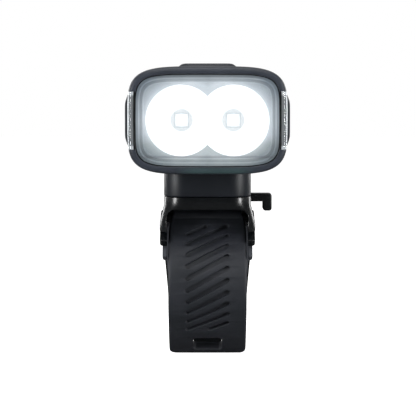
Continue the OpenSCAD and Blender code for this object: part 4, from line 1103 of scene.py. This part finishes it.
TARGET = Vector((0.15 * MM, -18 * MM, 21.6 * MM))
LOOK_DOWN = math.radians(3.8)
AWAY = 0.45
FOCAL_LENGTH = 136.3
SENSOR_WIDTH = 36
SKY_BEHIND, SKY_IN_FRONT = 0.42, 0.08
FLOOR_PALE, FLOOR_IN_GLOSS, FLOOR_LIFT = 0.82, 0.1, 0.8


def aim(thing, place, target):
    thing.location = place
    thing.rotation_euler = (Vector(target) - Vector(place)).to_track_quat("-Z", "Y").to_euler()


def set_camera():
    data = bpy.data.cameras.new("camera")
    data.lens = FOCAL_LENGTH
    data.sensor_width = SENSOR_WIDTH
    camera = bpy.data.objects.new("camera", data)
    bpy.context.collection.objects.link(camera)
    back = Vector((0, -math.cos(LOOK_DOWN), math.sin(LOOK_DOWN)))
    aim(camera, TARGET + AWAY * back, TARGET)
    bpy.context.scene.camera = camera


def softbox(name, place, target, wide, high, power):
    data = bpy.data.lights.new(name, "AREA")
    data.shape = "RECTANGLE"
    data.size = wide
    data.size_y = high
    data.energy = power
    lamp = bpy.data.objects.new(name, data)
    bpy.context.collection.objects.link(lamp)
    aim(lamp, place, target)


def light_sky():
    """White to the camera, and a soft light on the part that is dimmer from the front."""
    world = bpy.data.worlds.new("studio")
    bpy.context.scene.world = world
    world.use_nodes = True
    sky = world.node_tree
    sky.nodes.clear()
    out = sky.nodes.new("ShaderNodeOutputWorld")
    light = sky.nodes.new("ShaderNodeBackground")
    light.inputs["Color"].default_value = (*WHITE, 1)
    sky.links.new(light.outputs["Background"], out.inputs["Surface"])
    heading = sky.nodes.new("ShaderNodeTexCoord").outputs["Generated"]
    forward = sky.nodes.new("ShaderNodeVectorMath")
    forward.operation = "DOT_PRODUCT"
    forward.inputs[1].default_value = FORWARD
    sky.links.new(heading, forward.inputs[0])
    dim_front = span(sky, forward.outputs["Value"], SKY_BEHIND, SKY_IN_FRONT, 0, 0.5, "SMOOTHSTEP")
    seen = sky.nodes.new("ShaderNodeLightPath").outputs["Is Camera Ray"]
    sky.links.new(figure(sky, "MAXIMUM", dim_front, seen), light.inputs["Strength"])


def lay_floor():
    """Pale floor that keeps the part's shadow and is dim in its reflections."""
    put_down()
    bpy.ops.mesh.primitive_plane_add(size=6, location=(0, 0, cad_box[0][2] - 0.2 * MM))
    floor = bpy.context.object
    floor.name = "floor"
    material = bpy.data.materials.new("pale_floor")
    material.use_nodes = True
    ground = material.node_tree
    ground.nodes.clear()
    out = ground.nodes.new("ShaderNodeOutputMaterial")
    matte = ground.nodes.new("ShaderNodeBsdfDiffuse")
    lift = ground.nodes.new("ShaderNodeEmission")
    both = ground.nodes.new("ShaderNodeAddShader")
    ray = ground.nodes.new("ShaderNodeLightPath").outputs
    pale = span(ground, ray["Is Glossy Ray"], FLOOR_PALE, FLOOR_IN_GLOSS, 0, 1)
    ground.links.new(pale, matte.inputs["Color"])
    seen = figure(ground, "MAXIMUM", ray["Is Camera Ray"], ray["Is Transmission Ray"])
    ground.links.new(figure(ground, "MULTIPLY", seen, FLOOR_LIFT), lift.inputs["Strength"])
    ground.links.new(matte.outputs["BSDF"], both.inputs[0])
    ground.links.new(lift.outputs["Emission"], both.inputs[1])
    ground.links.new(both.outputs["Shader"], out.inputs["Surface"])
    floor.data.materials.append(material)


set_camera()
for side in SIDES:
    softbox("front_strip", (side * 0.36, -0.25, 0.06), (0, -0.02, 0.02), 0.09, 0.3, 2.2)
    softbox("rim_strip", (side * 0.36, 0.4, 0.04), (0, -0.01, 0), 0.12, 0.4, 0.9)
softbox("front_softbox", (0, -0.5, 0.42), (0, -0.02, 0.01), 0.4, 0.2, 1.6)
softbox("top_softbox", (0, 0.0, 0.75), (0, 0, 0.03), 0.5, 0.4, 3.0)
light_sky()
lay_floor()

bpy.context.scene.view_settings.view_transform = "Standard"
